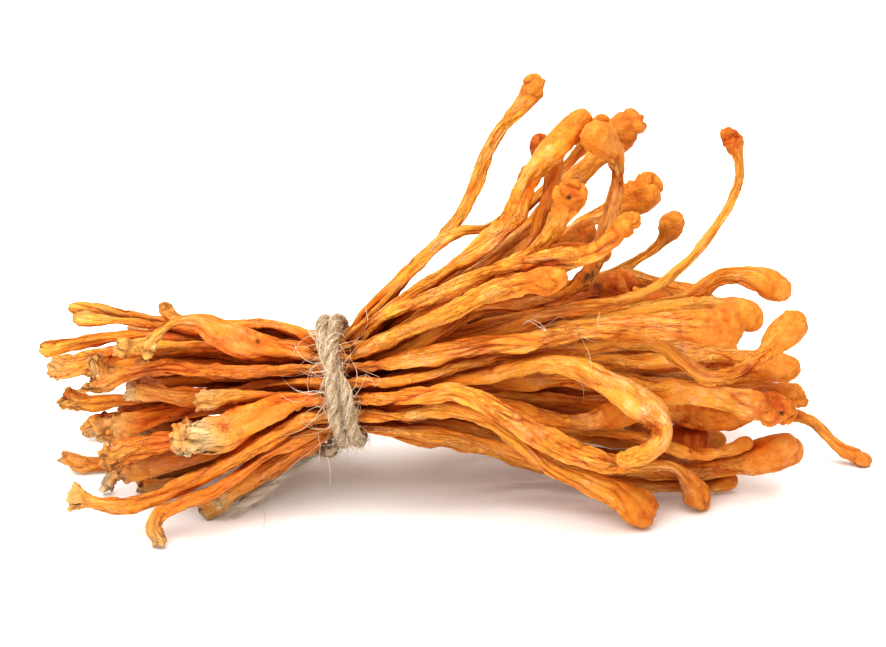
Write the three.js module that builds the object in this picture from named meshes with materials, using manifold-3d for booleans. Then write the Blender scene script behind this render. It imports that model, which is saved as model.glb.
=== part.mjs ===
// A bunch of dried cordyceps fruit bodies, tied round the middle with jute twine, lying on a flat surface.
// Millimetres, +Z up, +X from the cut bases towards the club heads, -Y towards the viewer.
// The origin is the middle of the bunch's footprint, on the surface that the bunch rests on.

import * as THREE from "three";
import Module from "manifold-3d";

const wasm = await Module();
wasm.setup();

// The view in which the routes below were read: 8 pixels are 1 mm at the middle of the bunch.
const VIEW_MIDDLE_PX = { u: 442, v: 322 };
const PX_PER_MM = 8;
const VIEW_ELEVATION = THREE.MathUtils.degToRad(22);
const VIEW_DISTANCE = 307;

// The surface under the bunch, before the whole is moved to the origin.
const FLOOR_Z = -23;

// The waist, where the twine draws the bunch together into a slanted oval.
const WAIST_PX = { u: 341, v: 378.5 };
const WAIST_HALF_DEPTH = 8.9;
const WAIST_HALF_HEIGHT = 5.6;
const WAIST_HALF_LENGTH = 2.7;
const WAIST_SLANT = 0.2;
const WAIST_SQUEEZE = 0.84;

// Fruit bodies: the stem dries flat and furrowed, and the club at the tip stays rounder.
const STEM_FLATNESS = 0.72;
const CLUB_FLATNESS = 0.9;
const CLUB_CAP = 1.1;
const BASE_CAP = 0.3;
const FURROW = 0.1;
const GAP = 0.24;
const REST_SINK = 0.25;
const POINT_STEP = 1.25;

// Facets of a fruit body: sides round it, and the fewest and most rings along it.
const SIDES = 8;
const FEWEST_RINGS = 10;
const MOST_RINGS = 19;
const MOST_RINGS_BEHIND = 14;

// Twine.
const TWINE_DIAMETER = 1.56;
const TWINE_STEP = 1.75;
const TWINE_CLEARANCE = 0.1;

const ORANGE = 0xe8892b;
const JUTE = 0xc9ad84;

// Routes of the fruit bodies: across and down in pixels, millimetres towards the viewer, and width in mm.
// Each runs from the cut base, through the twine, to the middle of the club at the tip. Those that start
// at the waist have a base end that is hidden in the bunch.
const TRACED = {
  tall_with_bent_head: [
    [68, 306, -2, 1.3], [110, 311, -2, 1.4], [155, 319, -2, 1.6], [220, 327, -1, 1.8], [341, 334, 0, 1.9],
    [372, 303, 1, 1.6], [400, 276, 1, 1.6], [425, 253, 1, 1.6], [452, 226, 1, 1.7], [464, 206, 0, 1.9],
    [473, 184, 0, 2.1], [484, 158, 0, 2.0], [493, 137, 0, 1.9], [506, 120, 0, 1.8], [522, 104, 0, 2.3],
    [532, 87, 0, 3.5],
  ],
  twig_beside_the_tall_one: [
    [72, 317, 0, 0.9], [112, 319, 0, 1.0], [155, 324, 0, 1.2], [220, 331, 1, 1.5], [341, 340, 3, 1.6],
    [385, 300, 3, 1.4], [410, 271, 2.5, 1.3], [434, 249, 2.5, 1.3], [458, 229, 2.5, 1.4],
    [474, 229, 2, 1.3], [492, 223, 0, 1.1], [506, 212, -1, 1.3], [513, 200, -1, 1.8],
  ],
  stout_upper_club: [
    [163, 303, 0, 1.4], [163, 311, 0, 2.5], [172, 318, 0, 1.4], [210, 324, 0, 1.8], [270, 331, 1, 2.0],
    [341, 341, 5, 2.0], [400, 302, 5, 2.1], [440, 274, 5, 2.2], [478, 246, 5, 2.5], [503, 226, 5, 2.9],
    [518, 205, 5, 3.1], [524, 186, 5, 2.8], [536, 165, 5, 2.9], [551, 147, 5, 3.4], [566, 131, 5, 3.3],
    [579, 120, 5, 2.9],
  ],
  dark_head_behind_it: [
    [341, 337, -4, 1.8], [420, 290, -5, 1.8], [480, 243, -6, 1.8], [512, 205, -7, 1.7],
    [530, 176, -7, 1.7], [536, 158, -7, 1.9], [538, 144, -7, 2.9],
  ],
  knob_under_it: [
    [341, 339, -2, 1.8], [430, 286, -2, 1.8], [490, 238, -3, 1.7], [513, 205, -3, 1.6],
    [522, 186, -3, 1.6], [526, 173, -3, 2.2],
  ],
  hook_with_round_head: [
    [49, 369, 4, 3.0], [62, 367, 4, 3.6], [79, 364, 4, 3.1], [102, 354, 3, 2.5], [150, 350, 2, 2.2],
    [220, 350, 3, 2.2], [341, 358, 6, 2.2], [400, 348, 7, 2.0], [425, 343, 7, 2.0], [448, 325, 7, 2.0],
    [475, 305, 7, 2.4], [512, 303, 6, 2.6], [550, 300, 5, 2.8], [578, 283, 4, 3.0], [597, 258, 3, 2.8],
    [603, 232, 3, 2.5], [609, 207, 3, 2.3], [616, 184, 3, 2.3], [617, 163, 4, 2.6], [608, 147, 6, 3.2],
    [597, 136, 8, 4.4],
  ],
  arm_across_the_hook: [
    [39, 348, 0, 1.6], [49, 348, 0, 1.8], [70, 343, 0, 1.8], [105, 338, 0, 1.7], [150, 334, 0, 1.9],
    [210, 338, 1, 2.0], [341, 345, 5, 2.0], [400, 314, 8, 2.0], [450, 288, 9, 2.3], [500, 269, 10, 2.6],
    [540, 261, 10, 2.8], [580, 256, 10, 2.8], [604, 243, 9, 3.0], [616, 231, 9, 3.0], [627, 221, 9, 3.2],
  ],
  creased_head: [
    [118, 348, 6, 3.0], [132, 348, 6, 2.8], [160, 346, 5, 2.0], [210, 346, 4, 2.0], [341, 349, 6, 2.0],
    [400, 320, 8, 2.0], [450, 297, 8, 2.0], [495, 274, 8, 2.2], [525, 256, 8, 2.3], [545, 236, 8, 2.5],
    [558, 215, 9, 3.0], [568, 195, 9, 4.4],
  ],
  strand_behind_the_club: [
    [341, 343, 1, 1.8], [410, 309, 3, 1.8], [470, 276, 4, 1.9], [510, 262, 4, 2.0], [529, 245, 4, 2.1],
    [539, 218, 3, 2.0], [546, 192, 2, 2.0], [552, 168, 1, 1.9], [556, 152, 0, 2.0],
  ],
  near_club_from_the_arch: [
    [143, 351, 10, 2.6], [152, 339, 10, 1.5], [164, 326, 10, 1.5], [180, 319, 10, 1.9],
    [199, 321, 9, 3.0], [220, 332, 8, 4.0], [250, 348, 7, 4.0], [290, 354, 7, 2.6], [341, 355, 8, 2.2],
    [400, 332, 11, 2.0], [440, 315, 12, 2.2], [480, 296, 12, 2.6], [510, 284, 12, 3.0],
    [535, 278, 12, 3.6], [551, 276, 12, 3.6],
  ],
  tall_thin_on_the_right: [
    [92, 355, 6, 2.2], [98, 365, 6, 2.4], [110, 372, 5, 2.0], [150, 362, 3, 2.0], [220, 358, 3, 2.0],
    [341, 363, 4, 1.8], [430, 347, 5, 1.8], [500, 326, 6, 1.8], [555, 311, 7, 1.8], [600, 303, 7, 1.8],
    [640, 293, 7, 1.5], [668, 276, 6, 1.3], [690, 256, 5, 1.3], [712, 232, 4, 1.4], [726, 208, 3, 1.5],
    [737, 186, 2, 1.4], [741, 167, 2, 1.3], [736, 151, 2, 1.6], [730, 138, 2, 3.2],
  ],
  hooked_right_club: [
    [341, 354, -2, 2.0], [450, 335, -2, 2.0], [560, 318, -2, 2.0], [640, 306, -2, 2.0],
    [680, 300, -2, 2.1], [700, 288, -2, 2.3], [718, 275, -2, 2.4], [740, 273, -2, 2.9],
    [760, 280, -2, 3.8], [775, 286, -2, 3.9],
  ],
  broad_middle_club: [
    [86, 381, 10, 3.2], [97, 385, 10, 2.9], [115, 378, 10, 2.4], [138, 369, 10, 2.3], [170, 367, 10, 2.2],
    [220, 370, 9, 2.1], [290, 369, 9, 2.1], [341, 371, 9, 2.4], [400, 362, 11, 2.6], [450, 351, 12, 2.7],
    [500, 342, 12, 2.7], [545, 337, 12, 2.6], [590, 328, 12, 2.7], [640, 325, 12, 3.2],
    [680, 324, 12, 4.2], [708, 326, 12, 5.0], [722, 326, 12, 4.9],
  ],
  club_behind_the_broad_one: [
    [341, 364, 0, 2.0], [450, 345, 0, 2.0], [560, 328, 0, 2.0], [640, 312, 0, 2.0], [700, 303, 0, 2.4],
    [732, 306, 0, 3.4], [746, 314, 0, 4.3],
  ],
  small_head_behind_the_broad_one: [
    [341, 352, -5, 1.8], [450, 335, -8, 1.8], [560, 315, -11, 1.8], [640, 303, -12, 1.8],
    [685, 300, -12, 2.2], [706, 302, -12, 3.4],
  ],
  upturned_right_club: [
    [128, 385, 8, 3.2], [145, 388, 8, 3.0], [185, 396, 8, 2.6], [230, 396, 8, 2.4], [290, 386, 9, 2.2],
    [341, 384, 9, 2.3], [410, 377, 11, 2.3], [450, 366, 12, 2.3], [490, 357, 11, 2.3],
    [530, 350, 10, 2.2], [580, 342, 10, 2.4], [630, 340, 10, 2.6], [662, 343, 11, 2.5],
    [681, 359, 11, 2.3], [703, 374, 11, 2.3], [728, 375, 11, 2.4], [750, 364, 11, 2.8],
    [766, 349, 11, 2.9], [781, 335, 11, 3.5], [790, 325, 11, 4.0],
  ],
  club_under_the_upturned_one: [
    [341, 375, 3, 2.2], [480, 363, 3, 2.2], [580, 362, 3, 2.4], [660, 362, 3, 2.8], [715, 357, 3, 3.6],
    [750, 362, 3, 3.4], [784, 367, 3, 3.7],
  ],
  blunt_ended_club: [
    [62, 398, 3, 2.9], [76, 402, 3, 2.9], [105, 403, 3, 2.2], [150, 396, 3, 2.2], [230, 390, 3, 2.2],
    [341, 391, 5, 2.2], [450, 388, 7, 2.2], [540, 380, 7, 2.4], [600, 381, 7, 2.6], [650, 390, 7, 3.2],
    [690, 391, 7, 3.6], [730, 400, 7, 3.6], [760, 407, 7, 4.2], [778, 409, 7, 4.4],
  ],
  small_club_behind_it: [
    [341, 383, -1, 2.0], [480, 375, -1, 2.0], [600, 377, -1, 2.2], [690, 386, 0, 2.2], [750, 387, 0, 2.6],
    [780, 389, 0, 2.8], [796, 396, 0, 3.0],
  ],
  long_thin_to_the_far_right: [
    [60, 454, -5, 1.8], [78, 461, -5, 2.8], [105, 462, -5, 2.1], [160, 448, -3, 2.0], [240, 418, 0, 2.0],
    [341, 402, 2, 2.0], [480, 404, 0, 2.0], [600, 407, -3, 2.0], [700, 409, -5, 2.0], [770, 412, -7, 2.0],
    [804, 417, -8, 2.1], [821, 429, -8, 1.9], [835, 443, -8, 1.9], [848, 454, -8, 2.2],
    [859, 462, -8, 2.9],
  ],
  big_lower_right_club: [
    [103, 459, 10, 3.2], [118, 452, 10, 3.2], [150, 445, 10, 3.0], [200, 432, 9, 2.6], [270, 415, 8, 2.3],
    [341, 409, 7, 2.2], [440, 424, 7, 2.2], [520, 441, 6, 2.3], [600, 463, 5, 2.3], [650, 470, 5, 2.4],
    [700, 469, 4, 2.6], [738, 462, 3, 3.6], [765, 454, 3, 5.0], [781, 450, 3, 5.1],
  ],
  thin_strand_beside_it: [
    [137, 489, 0, 1.8], [152, 487, 0, 1.8], [190, 478, 1, 1.7], [260, 448, 3, 1.7], [341, 415, 5, 1.8],
    [440, 414, 6, 1.8], [540, 425, 6, 1.8], [600, 430, 6, 1.8], [645, 438, 6, 1.8], [668, 445, 6, 1.9],
    [692, 453, 5, 1.9], [720, 451, 4, 1.9], [744, 443, 4, 2.0],
  ],
  small_drooping_club: [
    [159, 543, 16.4, 1.8], [154, 531, 16.2, 2.2], [153, 518, 16, 2.4], [168, 506, 15, 2.1],
    [200, 491, 14, 2.1], [240, 468, 12, 2.1], [290, 438, 10, 2.1], [341, 421, 7, 2.0], [440, 432, 9, 2.0],
    [520, 454, 9, 2.0], [580, 473, 9, 2.0], [620, 470, 9, 2.0], [655, 463, 9, 2.0], [676, 467, 8, 1.9],
    [688, 482, 7, 2.3], [698, 497, 6.5, 3.4],
  ],
  big_lower_front_club: [
    [72, 494, 14, 3.8], [84, 498, 14, 3.0], [112, 505, 14, 2.5], [150, 499, 14, 2.4], [190, 485, 14, 2.4],
    [230, 461, 13, 2.4], [270, 432, 12, 2.5], [305, 411, 10, 2.6], [341, 403, 9, 2.5],
    [400, 408, 12, 2.6], [445, 407, 14, 2.4], [490, 421, 14, 2.3], [515, 438, 14, 2.4],
    [545, 463, 14, 2.6], [585, 480, 13, 2.8], [616, 491, 11.4, 4.2], [640, 509, 10.5, 4.6],
  ],
  loop_over_the_front: [
    [197, 401, 11.5, 3.0], [206, 399, 11.5, 3.2], [217, 397, 11, 2.2], [245, 392, 10, 2.2],
    [290, 389, 9, 2.2], [341, 390, 9, 2.2], [420, 380, 11, 2.2], [470, 373, 12, 2.3], [510, 365, 12, 2.5],
    [545, 361, 12, 2.6], [580, 368, 13, 2.9], [612, 388, 14, 3.6], [638, 403, 15, 4.2],
    [655, 417, 15.4, 3.9], [660, 431, 15.9, 3.4], [654, 444, 16.4, 3.1], [641, 453, 16.9, 2.9],
    [626, 457, 17.2, 2.7],
  ],
  bright_front_strand: [
    [178, 436, 13, 5.0], [190, 437, 13, 5.6], [208, 436, 13, 5.0], [235, 427, 12, 4.6],
    [265, 410, 11, 4.0], [300, 397, 9, 2.6], [341, 396, 9, 2.4], [410, 397, 13, 2.4], [452, 392, 15, 2.6],
    [490, 405, 16, 3.0], [530, 430, 16, 3.1], [570, 450, 16, 3.1], [605, 461, 15, 3.0],
    [622, 462, 13.8, 2.9], [638, 460, 12.8, 2.6],
  ],
  club_inside_the_loop: [
    [97, 421, 4, 4.4], [112, 420, 4, 4.6], [135, 416, 4, 3.9], [165, 411, 4, 3.0], [220, 402, 5, 2.6],
    [290, 394, 6, 2.2], [341, 398, 6, 2.0], [430, 398, 8, 2.0], [500, 403, 9, 2.2], [545, 416, 9, 2.6],
    [580, 420, 9, 3.0], [610, 414, 9, 4.0], [628, 409, 9, 4.0],
  ],
  shadowed_club: [
    [117, 469, 5, 2.0], [135, 469, 5, 2.2], [180, 460, 5, 2.0], [250, 437, 5, 2.0], [341, 411, 3, 2.0],
    [450, 418, 2, 2.0], [560, 432, 1, 2.2], [630, 438, 1, 2.6], [668, 438, 1, 4.0], [688, 436, 1, 4.8],
  ],
  far_low_head: [
    [81, 429, -15, 1.7], [96, 424, -15, 1.9], [130, 417, -13, 1.8], [215, 405, -8, 1.9],
    [341, 406, -2, 2.0], [450, 412, -5, 2.0], [560, 427, -9, 2.4], [610, 437, -11, 2.8], [650, 438, -12, 2.4],
    [700, 437, -13, 2.4], [715, 438, -13, 2.6],
  ],
  low_curved_club: [
    [106, 490, 1, 2.2], [108, 480, 1, 2.3], [125, 467, 1, 2.0], [180, 447, 2, 2.0], [250, 420, 2, 2.0],
    [341, 397, 1, 2.0], [460, 394, 2, 2.0], [560, 400, 2, 2.4], [640, 405, 2, 2.8], [690, 415, 2, 3.4],
    [720, 418, 2, 3.4], [740, 414, 2, 3.2],
  ],
  bottom_strand: [
    [203, 509, 8, 2.6], [220, 499, 8, 2.6], [250, 478, 8, 2.2], [295, 449, 7, 2.0], [341, 428, 5, 2.0],
    [450, 438, 5, 2.0], [540, 461, 4, 2.1], [600, 479, 4, 2.2], [650, 483, 3, 2.2], [700, 484, 2, 2.0],
    [728, 480, 1, 2.2],
  ],
  lowest_strand: [
    [232, 497, 6, 2.0], [262, 477, 6, 2.1], [300, 452, 6, 2.0], [341, 432, 3, 2.0], [420, 437, 3, 2.0],
    [480, 446, 3, 2.0], [535, 462, 1, 2.0], [590, 474, -2, 2.2], [640, 478, -4, 2.4], [672, 480, -5, 3.2],
  ],
  low_strand_behind: [
    [341, 425, 0, 2.0], [430, 430, 0, 2.0], [500, 441, -1, 2.0], [570, 450, -3, 2.0], [640, 455, -6, 2.2],
    [690, 457, -8, 3.0], [712, 457, -8, 3.2],
  ],
  big_far_upper_club: [
    [341, 338, -6, 1.9], [420, 302, -8, 1.9], [500, 245, -10, 2.2], [545, 203, -12, 2.6],
    [570, 178, -13, 3.0], [595, 160, -13, 3.2], [613, 141, -13, 4.0], [627, 127, -13, 4.8],
  ],
  small_far_upper_head: [
    [341, 343, -7, 1.8], [430, 294, -10, 1.8], [510, 225, -13, 1.8], [560, 170, -16, 1.8],
    [585, 140, -17, 1.8], [600, 122, -17, 2.4],
  ],
  far_club_right_of_the_hook: [
    [341, 347, -3, 2.0], [430, 310, -5, 2.0], [510, 266, -7, 2.2], [560, 237, -8, 2.6],
    [598, 215, -9, 3.0], [622, 203, -9, 4.2], [642, 190, -9, 5.0],
  ],
  far_head_on_a_thin_stem: [
    [341, 352, -7, 1.7], [430, 322, -10, 1.7], [520, 297, -13, 1.9], [574, 278, -15, 2.6],
    [618, 268, -16, 1.6], [644, 259, -17, 1.4], [660, 244, -17, 1.8], [671, 222, -17, 3.3],
  ],
  strand_under_the_arm: [
    [341, 346, 2, 1.9], [420, 309, 4, 1.9], [480, 277, 5, 2.1], [520, 259, 5, 2.2], [550, 251, 5, 2.4],
    [578, 248, 5, 2.4],
  ],
  shaded_head_inside: [
    [341, 348, -1, 1.9], [430, 310, -2, 1.9], [500, 276, -3, 2.0], [540, 258, -4, 2.2],
    [565, 243, -4, 2.8], [582, 232, -4, 3.4],
  ],
  crumpled_club_inside: [
    [341, 360, 2, 1.9], [430, 338, 0, 1.9], [520, 318, -2, 2.0], [575, 303, -3, 3.0], [603, 291, -3, 4.4],
    [618, 283, -3, 4.4],
  ],
  far_strand_right: [
    [341, 358, -5, 1.9], [450, 330, -7, 1.9], [550, 300, -9, 1.9], [610, 279, -9, 2.0],
    [650, 283, -9, 2.4], [680, 291, -9, 2.4], [700, 292, -9, 2.6],
  ],
  short_club_inside: [
    [341, 362, -4, 1.9], [450, 345, -4, 1.9], [560, 325, -5, 1.9], [620, 308, -5, 2.6],
    [656, 300, -5, 3.7],
  ],
  back_middle_club: [
    [76, 364, -13, 2.4], [112, 361, -12, 2.3], [180, 362, -10, 2.1], [260, 367, -8, 2.0],
    [341, 372, -7, 2.0], [450, 365, -12, 2.0], [560, 353, -18, 2.3], [640, 350, -22, 3.0],
    [695, 347, -23, 3.6], [720, 351, -23, 4.4],
  ],
  back_low_club: [
    [341, 385, -7, 2.0], [450, 388, -13, 2.0], [560, 393, -19, 2.2], [650, 401, -22, 2.6],
    [690, 410, -23, 3.8],
  ],
  back_bottom_club: [
    [134, 436, -3, 2.6], [160, 433, -3, 2.4], [230, 418, -3, 2.1], [290, 402, -4, 2.0],
    [341, 395, -5, 2.0], [450, 405, -9, 2.0], [560, 415, -14, 2.1], [620, 423, -16, 2.4],
    [655, 428, -17, 3.8],
  ],
  back_upper_club: [
    [341, 365, -8, 2.0], [450, 350, -15, 2.0], [540, 325, -21, 2.0], [600, 301, -24, 2.6],
    [634, 295, -25, 4.4],
  ],
  back_leaning_club: [
    [341, 354, -7, 1.9], [430, 325, -12, 1.9], [520, 290, -17, 2.0], [575, 262, -20, 2.2],
    [596, 250, -21, 3.6],
  ],
  inner_right_club: [
    [341, 380, -4, 2.0], [450, 375, -8, 2.0], [560, 373, -12, 2.1], [645, 376, -15, 2.8],
    [720, 380, -17, 2.8], [745, 384, -17, 3.8],
  ],
  inner_low_club: [
    [152, 476, -3, 2.5], [185, 467, -3, 2.3], [240, 446, -4, 2.1], [295, 413, -3, 2.0],
    [341, 390, -2, 2.0], [450, 395, -4, 2.0], [560, 402, -7, 2.0], [650, 400, -9, 2.2],
    [715, 396, -11, 3.0], [745, 397, -12, 3.8],
  ],
  back_short_club: [
    [341, 347, -6, 1.9], [420, 308, -9, 1.9], [490, 262, -13, 2.0], [530, 234, -16, 2.4],
    [546, 216, -17, 3.4],
  ],
  inner_dark_strand: [
    [118, 406, -2, 2.5], [150, 406, -2, 2.3], [210, 399, -1, 2.2], [275, 391, 0, 2.0],
    [341, 386, 0, 2.0], [440, 383, 0, 2.2], [520, 387, -2, 2.4], [580, 392, -4, 2.6], [630, 394, -5, 3.2],
  ],
  inner_upper_strand: [
    [341, 361, -3, 1.9], [430, 337, -5, 1.9], [497, 315, -7, 2.0], [560, 322, -8, 2.2], [600, 332, -9, 2.8],
  ],
};

// The hidden base ends fan out behind the seen ones by this rule.
const HIDDEN_BASE = {
  firstPx: 78, spreadPx: 120, midPx: 230, depthGrowth: 1.9, backMm: 4, heightGrowth: 0.9,
};

// The two loose ends of the twine, in the same terms, from the cut end to where it meets the waist.
const TWINE_END_IN = [
  [229, 513, 7.4, 1.5], [245, 501, 6.4, 1.5], [262, 488, 4.8, 1.5], [279, 475, 2.6, 1.5],
  [296, 460, 0, 1.5], [312, 449, -2.2, 1.5],
];
const TWINE_END_OUT = [[286, 398, -21, 1.5], [300, 392, -19, 1.5], [314, 385, -16, 1.5]];

// The way of the twine round the waist: degrees round (0 at the front, 90 on top, 180 at the back),
// millimetres along the bunch from the middle of the tie, and how many layers of twine lie under it.
const TWINE_TURNS = [
  [-78, -2.7, 0], [-100, -2.4, 0], [-130, -2.1, 0], [-180, -1.5, 0], [-230, -1.2, 0], [-262, -1.0, 0],
  [-285, -0.8, 0], [-300, -0.2, 0], [-315, 0.7, 0], [-335, 1.25, 0], [-360, 1.3, 0], [-400, 1.1, 0],
  [-440, 1.0, 0], [-480, 0.9, 0], [-520, 0.6, 0], [-570, 0.5, 0], [-610, 0.7, 0], [-632, 0.7, 0.2],
  [-648, 0.6, 0.75], [-660, 0.5, 1], [-674, 0.1, 1], [-690, -0.3, 0.45], [-708, -0.5, 0], [-725, -0.6, 0],
  [-760, -0.7, 0], [-800, -0.75, 0], [-830, -0.6, 0.3], [-850, -1.2, 0.95], [-866, -2.2, 1],
  [-880, -3.6, 0.8],
];

const { clamp, lerp, smoothstep } = THREE.MathUtils;

// A seeded draw in 0..1 (a linear congruential generator), so that every run gives the same bunch.
function seeded(seed) {
  let state = seed >>> 0;
  return () => {
    state = (Math.imul(state, 1664525) + 1013904223) >>> 0;
    return state / 4294967296;
  };
}

const EYE = new THREE.Vector3(0, -Math.cos(VIEW_ELEVATION), Math.sin(VIEW_ELEVATION));
EYE.multiplyScalar(VIEW_DISTANCE);

// The point `near` mm in front of the middle plane that the view shows at pixel (u, v).
function seen(u, v, near) {
  const [sin, cos] = [Math.sin(VIEW_ELEVATION), Math.cos(VIEW_ELEVATION)];
  const across = (u - VIEW_MIDDLE_PX.u) / PX_PER_MM;
  const up = (VIEW_MIDDLE_PX.v - v) / PX_PER_MM;
  const ray = new THREE.Vector3(across, VIEW_DISTANCE * cos + up * sin, -VIEW_DISTANCE * sin + up * cos);
  return ray.multiplyScalar((-near - EYE.y) / ray.y).add(EYE);
}

const WAIST = seen(WAIST_PX.u, WAIST_PX.v, 0);

// How far a point is from the slanted plane of the tie, along the bunch.
function fromWaist(p) {
  return p.x - WAIST.x + WAIST_SLANT * (p.z - WAIST.z);
}

// Three route points for a hidden base end, given the route point at the waist.
function hiddenBase([, v, near], random) {
  const endU = HIDDEN_BASE.firstPx + HIDDEN_BASE.spreadPx * random();
  const endNear = near * HIDDEN_BASE.depthGrowth - HIDDEN_BASE.backMm * (0.4 + 1.2 * random());
  const drop = (v - WAIST_PX.v) * HIDDEN_BASE.heightGrowth + 14 * (random() - 0.5);
  // A point further back shows higher up in the view.
  const endV = WAIST_PX.v + 6 + drop + 1.6 * (endNear - near);
  return [
    [endU, endV, endNear, 2.2 + 1.4 * random()],
    [endU + 22, endV + 4 * (random() - 0.5), endNear + 0.5, 2.2 + 0.8 * random()],
    [HIDDEN_BASE.midPx, (v + endV) / 2 + 2, (near + endNear) / 2, 2.0],
  ];
}

// The route's points in space. A drying stem also waves in depth, and behind the bunch up and down.
function placesOf(route, random) {
  const wave = { high: 0.7 + 0.9 * random(), long: 17 + 12 * random(), start: 2 * Math.PI * random() };
  return route.map(([u, v, near], k) => {
    if (u === WAIST_PX.u) return seen(u + WAIST_SLANT * (v - WAIST_PX.v), v, near);
    const fromEnd = Math.min(k, route.length - 1 - k, Math.abs(u - WAIST_PX.u) / 60, 3) / 3;
    const phase = (2 * Math.PI * u) / (PX_PER_MM * wave.long) + wave.start;
    const unseen = clamp(-near - 6, 0, 9) * 0.9;
    return seen(u, v + fromEnd * unseen * Math.cos(phase), near + wave.high * fromEnd * Math.sin(phase));
  });
}

// A fruit body before it meets its neighbours: evenly spaced points along its route, and the width at each.
function grow(route, index) {
  const curve = new THREE.CatmullRomCurve3(placesOf(route, seeded(301 + 17 * index)), false, "centripetal");
  curve.arcLengthDivisions = 400;
  const count = Math.max(12, Math.round(curve.getLength() / POINT_STEP));
  const points = [];
  const widths = [];
  for (let i = 0; i <= count; i++) {
    const t = curve.getUtoTmapping(i / count);
    const at = t * (route.length - 1);
    const k = Math.min(Math.floor(at), route.length - 2);
    points.push(curve.getPoint(t));
    widths.push(lerp(route[k][3], route[k + 1][3], smoothstep(at - k, 0, 1)));
  }
  return { index, points, widths, target: points.map((p) => p.clone()) };
}

// The radius at which a neighbour is held off; the twine squeezes the stems at the waist.
function holdRadius(body, i) {
  const waist = 1 - smoothstep(Math.abs(fromWaist(body.points[i])), 3, 14);
  return 0.43 * body.widths[i] * lerp(1, WAIST_SQUEEZE, waist);
}

// Pairs of points on different bodies that are close enough to meet, found with a grid of cells.
const PAIR_REACH = 6.2;
function closePairs(bodies) {
  const cells = new Map();
  const key = (x, y, z) => (x + 512) * 1048576 + (y + 512) * 1024 + (z + 512);
  const pairs = [];
  const visit = (b, i, p, cell) => {
    for (const [ob, oi] of cells.get(cell) ?? [])
      if (ob !== b && bodies[ob].points[oi].distanceTo(p) < PAIR_REACH) pairs.push([ob, oi, b, i]);
  };
  bodies.forEach((body, b) =>
    body.points.forEach((p, i) => {
      const [cx, cy, cz] = [p.x, p.y, p.z].map((c) => Math.floor(c / PAIR_REACH));
      for (let x = cx - 1; x <= cx + 1; x++)
        for (let y = cy - 1; y <= cy + 1; y++)
          for (let z = cz - 1; z <= cz + 1; z++) visit(b, i, p, key(x, y, z));
      const own = key(cx, cy, cz);
      if (!cells.has(own)) cells.set(own, []);
      cells.get(own).push([b, i]);
    }),
  );
  return pairs;
}

// Spreads a body's shifts along it, and draws it back towards its place in the view; in depth it gives way.
function recover({ points, target }, spread, hold) {
  const offsets = points.map((p, i) => p.clone().sub(target[i]));
  const step = new THREE.Vector3();
  const sight = new THREE.Vector3();
  points.forEach((p, i) => {
    const before = offsets[Math.max(i - 1, 0)];
    const after = offsets[Math.min(i + 1, points.length - 1)];
    step.copy(before).add(after).multiplyScalar(0.5).sub(offsets[i]);
    p.addScaledVector(step, spread);
    sight.copy(target[i]).sub(EYE).normalize();
    p.addScaledVector(offsets[i], -hold).addScaledVector(sight, 0.9 * hold * offsets[i].dot(sight));
  });
}

// Moves two bodies apart where their points are closer than their radii and the gap.
function pushApart(bodies, [a, i, b, j], push) {
  const [p, q] = [bodies[a].points[i], bodies[b].points[j]];
  const room = holdRadius(bodies[a], i) + holdRadius(bodies[b], j) + GAP;
  const far = push.copy(q).sub(p).length();
  if (far >= room || far < 1e-6) return;
  push.multiplyScalar((0.35 * (room - far)) / far);
  if (!bodies[a].fixed) p.sub(push);
  if (!bodies[b].fixed) q.add(push);
}

// Keeps a point inside the oval of the tie, and above the surface.
function contain(p, r) {
  if (Math.abs(fromWaist(p)) < WAIST_HALF_LENGTH) {
    const [y, z] = [p.y - WAIST.y, p.z - WAIST.z];
    const out = Math.hypot(y / (WAIST_HALF_DEPTH - r), z / (WAIST_HALF_HEIGHT - r));
    if (out > 1) {
      p.y = WAIST.y + y / out;
      p.z = WAIST.z + z / out;
    }
  }
  const lowest = FLOOR_Z + r - REST_SINK;
  if (p.z < lowest) p.z += 0.6 * (lowest - p.z);
}

// Pushes the fruit bodies apart until none overlap, while each keeps its shape and its place in the view.
const SETTLE_ROUNDS = 420;
const LAST_ROUNDS = 120;
const PAIR_EVERY = 6;
function settle(bodies) {
  const moving = bodies.filter((body) => !body.fixed);
  const push = new THREE.Vector3();
  let pairs = [];
  for (let round = 0; round < SETTLE_ROUNDS; round++) {
    const last = round >= SETTLE_ROUNDS - LAST_ROUNDS;
    if (round % PAIR_EVERY === 0) pairs = closePairs(bodies);
    for (const body of moving) recover(body, last ? 0.1 : 0.35, last ? 0.01 : 0.16);
    for (const pair of pairs) pushApart(bodies, pair, push);
    for (const body of moving) body.points.forEach((p, i) => contain(p, holdRadius(body, i)));
  }
}

// The unit tangent at each point of a line of points.
function tangents(points) {
  return points.map((p, i) => {
    const before = points[Math.max(i - 1, 0)];
    const after = points[Math.min(i + 1, points.length - 1)];
    return after.clone().sub(before).normalize();
  });
}

// Where the rings of facets go: closer together at a bend, at a change of width and under the twine.
function ringPlaces({ points, widths, behind }, along) {
  const cost = [0];
  for (let i = 1; i < points.length; i++) {
    const length = points[i].distanceTo(points[i - 1]);
    const tied = Math.abs(fromWaist(points[i])) < 4 ? length / 5 : 0;
    const swell = Math.abs(widths[i] - widths[i - 1]);
    cost.push(cost[i - 1] + length / 8.5 + along[i].angleTo(along[i - 1]) / 0.5 + swell / 1.6 + tied);
  }
  const total = cost[cost.length - 1];
  const count = clamp(Math.round(total) + 1, FEWEST_RINGS, behind ? MOST_RINGS_BEHIND : MOST_RINGS);
  const places = [];
  for (let n = 0, i = 0; n < count; n++) {
    const wanted = (total * n) / (count - 1);
    while (i < cost.length - 2 && cost[i + 1] < wanted) i++;
    places.push(i + clamp((wanted - cost[i]) / (cost[i + 1] - cost[i]), 0, 1));
  }
  return places;
}

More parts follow.
